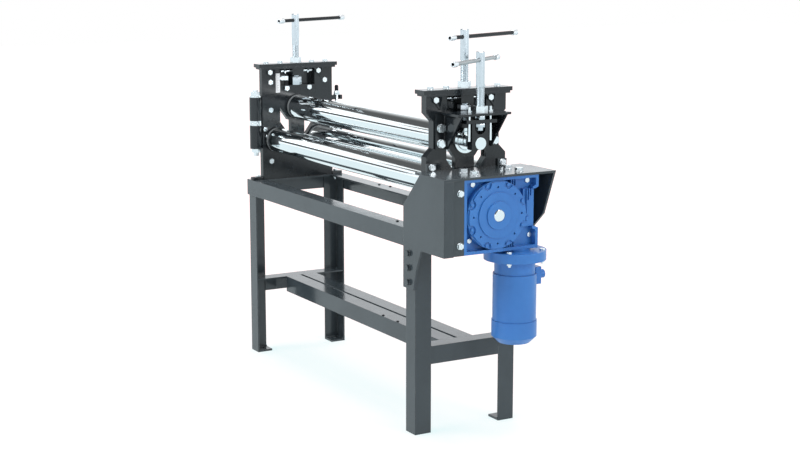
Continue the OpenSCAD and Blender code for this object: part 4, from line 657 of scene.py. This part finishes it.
def foot_bolt():
    """Hexagon bolt with its head on the foot and a nut under the rail, along Z."""
    stem_low, into_head = FLANGE_LOW - FOOT_STEM_OUT, FOOT_TOP + 0.002
    stem = turned([(0, stem_low), (FOOT_BOLT_R - FOOT_STEM_TAPER, stem_low),
                   (FOOT_BOLT_R, stem_low + FOOT_STEM_TAPER), (FOOT_BOLT_R, into_head),
                   (0, into_head)], steps=24)
    head = hexagon(FOOT_HEX_W, FOOT_TOP, FOOT_TOP + FOOT_HEAD_H, turn=8)
    nut = hexagon(FOOT_HEX_W, FLANGE_LOW - FOOT_NUT_H, FLANGE_LOW, turn=20)
    return [stem, head, nut]


bolts = [assemble(f"foot_bolt_{sign}", foot_bolt(), place=(LEFT_X, sign * FOOT_BOLT_Y, 0))
         for sign in (-1, 1)]
foot_bolts = assemble("left_foot_bolts", bolts)
foot_bolts.data.materials.append(zinc)
settle(foot_bolts, "stand", "bright_zinc")

ties = []
for sign in (-1, 1):
    for across, place_y, height in WEB_BOLTS:
        head = hexagon(across, 0, 0.45 * across, chamfer=0.0008)
        ties.append(assemble(f"tie_{len(ties)}", [head], turn=(0, math.radians(90), 0),
                             place=(HOUSING_HIGH_X, sign * place_y, height)))
tie_bolts = assemble("left_tie_bolts", ties)
tie_bolts.data.materials.append(zinc)
settle(tie_bolts, "stand", "bright_zinc")

# Button-head screws of the rails
# Small blackened screws with a hexagon socket, in the top flanges of the upper and lower
# long rails.
LOW_RAIL_TOP = 0.308
BUTTON_PLACES = (
    (0.487, -0.166, RAIL_TOP), (-0.271, 0.184, RAIL_TOP), (-0.208, 0.199, RAIL_TOP),
    (0.196, -0.060, LOW_RAIL_TOP), (0.306, -0.061, LOW_RAIL_TOP))


def button_head(place, radius=0.0055, height=0.0034):
    """Domed head with a hexagon socket, standing on place."""
    head = turned([(0, 0), (radius, 0), (radius, 0.3 * height), (0.86 * radius, 0.7 * height),
                   (0.6 * radius, 0.93 * height), (0.42 * radius, height), (0, height)],
                  steps=24)
    bpy.ops.object.select_all(action="DESELECT")
    bpy.ops.mesh.primitive_cylinder_add(vertices=6, radius=0.38 * radius, depth=height,
                                        location=(0, 0, height))
    cut_away(head, bpy.context.object)
    head.location = place
    bpy.ops.object.select_all(action="DESELECT")
    head.select_set(True)
    bpy.ops.object.transform_apply(location=True, rotation=False, scale=False)
    return head


heads = [button_head(place) for place in BUTTON_PLACES]
rail_screws = assemble("rail_button_screws", heads)
rail_screws.data.materials.append(blacked)
settle(rail_screws, "stand", "dark_steel")

# Welds of the stand and the tail bracket
# Fillet welds laid by hand: overlapping half-moons of weld metal a few millimetres wide,
# painted over with the stand. The bracket's shelf and gussets are welded on the same way.
LEG_X, LEG_Y, ANGLE_W, ANGLE_T = 0.673, 0.202, 0.063, 0.006
FOOT_PLATE_TOP, LOW_FLANGE_UNDER = 0.008, 0.302
CROSSBAR_WELD_LOW, CROSSBAR_WELD_TOP = 0.248, 0.300
RAIL_WELD_IN, RAIL_WELD_OUT = 0.010, 0.060
GUSSET_Y, GUSSET_HALF, GUSSET_BEAD = 0.0875, 0.0035, 0.003
SHELF_UNDER, SHELF_WELD_IN, SHELF_WELD_OUT = 1.105, 0.690, 0.776
BRACKET_FACE_X, BRACKET_WELD_LOW, BRACKET_WELD_TOP = 0.677, 0.995, 1.100


def weld_bead(start, end, size=0.0038, step=0.0028):
    """A row of overlapping flattened drops from start to end."""
    start, end = Vector(start), Vector(end)
    count = max(2, round((end - start).length / step))
    rings = [math.pi * ring / 6 for ring in range(1, 6)]
    bead = turned([(0, -size), *((size * math.sin(ring), -size * math.cos(ring))
                                 for ring in rings), (0, size)], steps=10)
    bead.scale, bead.rotation_euler.z = (1, 0.75, 1), math.radians(90)
    bpy.ops.object.transform_apply(location=False, rotation=True, scale=True)
    apply_modifier(bead, "row", "ARRAY", fit_type="FIXED_COUNT", count=count,
                   use_relative_offset=False, use_constant_offset=True,
                   constant_offset_displace=((end - start).length / (count - 1), 0, 0))
    bead.rotation_euler = (end - start).to_track_quat("X", "Z").to_euler()
    bead.location = start
    bpy.ops.object.transform_apply(location=True, rotation=True, scale=False)
    return bead


beads = []
for sx in (-1, 1):
    inner_x, edge_x = sx * (LEG_X - ANGLE_T), sx * (LEG_X - ANGLE_W)
    for sy in (-1, 1):
        inner_y, edge_y = sy * (LEG_Y - ANGLE_T), sy * (LEG_Y - ANGLE_W)
        corner = (inner_x, inner_y, FOOT_PLATE_TOP)
        beads.append(weld_bead(corner, (edge_x, inner_y, FOOT_PLATE_TOP)))
        beads.append(weld_bead(corner, (inner_x, edge_y, FOOT_PLATE_TOP)))
        beads.append(weld_bead((inner_x, edge_y, CROSSBAR_WELD_LOW),
                               (inner_x, edge_y, CROSSBAR_WELD_TOP)))
        beads.append(weld_bead((edge_x, sy * RAIL_WELD_IN, LOW_FLANGE_UNDER),
                               (edge_x, sy * RAIL_WELD_OUT, LOW_FLANGE_UNDER)))
frame_welds = assemble("frame_welds", beads, angle=60)
frame_welds.data.materials.append(frame_paint)
settle(frame_welds, "stand", "frame_paint")

beads = []
for sy in (-1, 1):
    for side in (-1, 1):
        y = sy * GUSSET_Y + side * GUSSET_HALF
        beads.append(weld_bead((SHELF_WELD_IN, y, SHELF_UNDER),
                               (SHELF_WELD_OUT, y, SHELF_UNDER), size=GUSSET_BEAD))
    y = sy * (GUSSET_Y + GUSSET_HALF)
    beads.append(weld_bead((BRACKET_FACE_X, y, BRACKET_WELD_LOW),
                           (BRACKET_FACE_X, y, BRACKET_WELD_TOP), size=GUSSET_BEAD))
bracket_welds = assemble("bracket_welds", beads, angle=60)
bracket_welds.data.materials.append(plate_paint)
settle(bracket_welds, "stand", "plate_paint")

# Scale on the drop end
# White enamelled steel strip with black graduations, fixed to the face of the drop end
# beside the pointer.
SCALE_LOW, SCALE_LEFT = 1.070, -0.098
LINE_HALF, LINE_L = 0.0004, 0.008
LONG_LINE_HALF, LONG_LINE_L = 0.0006, 0.013
DUST_DEPTH, STRIP_EDGE = 0.00001, 0.0004
SCALE_GREY, SCALE_WHITE = (0.74, 0.77, 0.80), (0.84, 0.86, 0.88)
SCALE_INK = (0.02, 0.02, 0.02)


def scale_finish(low, left, step=0.005):
    """White strip with a short line every step and a long one every second step."""
    strip = new_finish("scale_enamel")
    here = strip.place(centre=(0, left, low))
    up, side = strip.part(here, "Z"), strip.part(here, "Y")
    line = abs(up % step - step / 2) > step / 2 - LINE_HALF
    short = side < LINE_L
    long = side < LONG_LINE_L
    even = abs(up % (2 * step) - step) > step - LONG_LINE_HALF
    ink = line * (short + long * even)
    dust = strip.noise(0.01, detail=4)
    white = strip.mix(dust, SCALE_GREY, SCALE_WHITE)
    return strip.shade(
        Base_Color=strip.mix(ink, white, SCALE_INK), Roughness=0.28 + dust * 0.1,
        Normal=strip.bumps((dust, DUST_DEPTH), edge=STRIP_EDGE))


dress(scale_finish(SCALE_LOW, SCALE_LEFT), "roll_scale")

# Studio
# A white sweep under large soft lamps, with a faint cool shadow on the floor. Gloss and
# metal see a cool floor and sky, a ceiling that darkens towards the front and a dark card.
FLOOR_SIZE = 40
LAMPLIT, SHADOW_TONE = (0.37, 0.13, 0.12), (0.625, 0.885, 0.90)
WHITE, FLOOR_GREY = (1.0, 1.0, 1.0), (0.8, 0.8, 0.8)
SHADOW_REACH, WHITE_FROM = 1.5, 3.0
FLOOR_IN_GLOSS, FLOOR_GLOSS_STRENGTH = (0.88, 0.975, 1.0), 1.06
SKY_IN_GLOSS, SKY_GLOSS_STRENGTH = (0.94, 0.97, 1.0), 1.35
FILL_STRENGTH = 0.55
CEILING_Z, CEILING_SIZE, CEILING_DARK, CEILING_PALE = 8.5, 44, 0.12, 0.85
PALE_FROM_Y, PALE_TO_Y = 0.3, 9.0


def direct_rays(finish):
    """1 for rays from the camera, a mirror or glass, 0 for the light on the object."""
    camera_ray, glossy, glass = (
        finish.node("ShaderNodeLightPath", out=kind)
        for kind in ("Is Camera Ray", "Is Glossy Ray", "Is Transmission Ray"))
    return camera_ray + glossy + glass > 0.5


bpy.ops.object.select_all(action="DESELECT")
bpy.ops.mesh.primitive_plane_add(size=FLOOR_SIZE, location=(0, 0, 0))
floor = bpy.context.object
floor.name = "studio_floor"
floor_paint = new_finish("studio_floor")
ground = floor_paint.node("ShaderNodeBsdfDiffuse", {}, {"Color": LAMPLIT})
distance = floor_paint.node("ShaderNodeVectorMath", {"operation": "LENGTH"},
                            [floor_paint.place()], out="Value")
glow_tone = floor_paint.mix(distance.ramp(SHADOW_REACH, WHITE_FROM), SHADOW_TONE, WHITE)
glow = floor_paint.node("ShaderNodeEmission", {}, {"Color": glow_tone, "Strength": 1.0})
lit = floor_paint.node("ShaderNodeAddShader", {}, [ground, glow])
plain = floor_paint.node("ShaderNodeBsdfDiffuse", {}, {"Color": FLOOR_GREY})
shown = floor_paint.node("ShaderNodeMixShader", {}, [direct_rays(floor_paint), plain, lit])
cool = floor_paint.node("ShaderNodeEmission", {},
                        {"Color": FLOOR_IN_GLOSS, "Strength": FLOOR_GLOSS_STRENGTH})
mirrored = floor_paint.node("ShaderNodeLightPath", out="Is Glossy Ray")
shown = floor_paint.node("ShaderNodeMixShader", {}, [mirrored, shown, cool])
floor_paint.feed(floor_paint.tree.nodes["Material Output"].inputs["Surface"], shown)
floor.data.materials.append(floor_paint.data)


def dark_card(name, place, turn, width, height, grey, rear_grey=None):
    """A card that only gloss and metal see, of one grey, or paler towards the rear."""
    bpy.ops.object.select_all(action="DESELECT")
    bpy.ops.mesh.primitive_plane_add(size=1, location=place, rotation=turn)
    card = bpy.context.object
    card.name = name
    card.scale = (width, height, 1)
    bpy.ops.object.transform_apply(location=True, rotation=True, scale=True)
    card.visible_camera = card.visible_diffuse = card.visible_shadow = False
    card.visible_transmission = False
    finish = new_finish(name)
    rear = finish.part(finish.place(), "Y").ramp(PALE_FROM_Y, PALE_TO_Y)
    tone = finish.mix(rear, (grey, grey, grey), (rear_grey or grey,) * 3)
    flat = finish.node("ShaderNodeEmission", {}, {"Color": tone, "Strength": 1.0})
    finish.feed(finish.tree.nodes["Material Output"].inputs["Surface"], flat)
    card.data.materials.append(finish.data)


dark_card("dark_ceiling", (0, 0, CEILING_Z), (0, 0, 0), CEILING_SIZE, CEILING_SIZE,
          grey=CEILING_DARK, rear_grey=CEILING_PALE)
dark_card("dark_card", (-7.5, -4.0, 1.75), (math.radians(90), 0, math.radians(-62)),
          width=1.6, height=0.9, grey=0.06)

world = bpy.data.worlds.new("studio")
bpy.context.scene.world = world
sky = Finish(world)
dim = sky.node("ShaderNodeBackground", {}, {"Color": WHITE, "Strength": FILL_STRENGTH})
white = sky.node("ShaderNodeBackground", {}, {"Color": WHITE, "Strength": 1.0})
choose = sky.node("ShaderNodeMixShader", {}, [direct_rays(sky), dim, white])
bright = sky.node("ShaderNodeBackground", {},
                  {"Color": SKY_IN_GLOSS, "Strength": SKY_GLOSS_STRENGTH})
mirrored = sky.node("ShaderNodeLightPath", out="Is Glossy Ray")
choose = sky.node("ShaderNodeMixShader", {}, [mirrored, choose, bright])
sky.feed(sky.tree.nodes["World Output"].inputs["Surface"], choose)


def softbox(name, place, aim, width, height, watts):
    """A rectangular lamp at place, turned towards aim."""
    bpy.ops.object.light_add(type="AREA", location=place)
    lamp = bpy.context.object
    lamp.name = name
    lamp.data.shape = "RECTANGLE"
    lamp.data.size, lamp.data.size_y = width, height
    lamp.data.energy = watts
    lamp.rotation_euler = (Vector(aim) - Vector(place)).to_track_quat("-Z", "Y").to_euler()


softbox("key_lamp", (-0.5, -4.5, 3.6), (0, 0, 0.7), width=3.0, height=2.0, watts=170)
softbox("top_lamp", (0, 0.5, 4.5), (0, 0, 0.6), width=4.0, height=2.5, watts=160)
softbox("side_lamp", (5.0, 1.5, 2.6), (0.5, 0, 0.7), width=2.0, height=2.0, watts=70)
softbox("left_lamp", (-5.6, -2.0, 2.85), (0, 0, 1.0), width=1.5, height=1.7, watts=10)

bpy.context.view_layer.update()
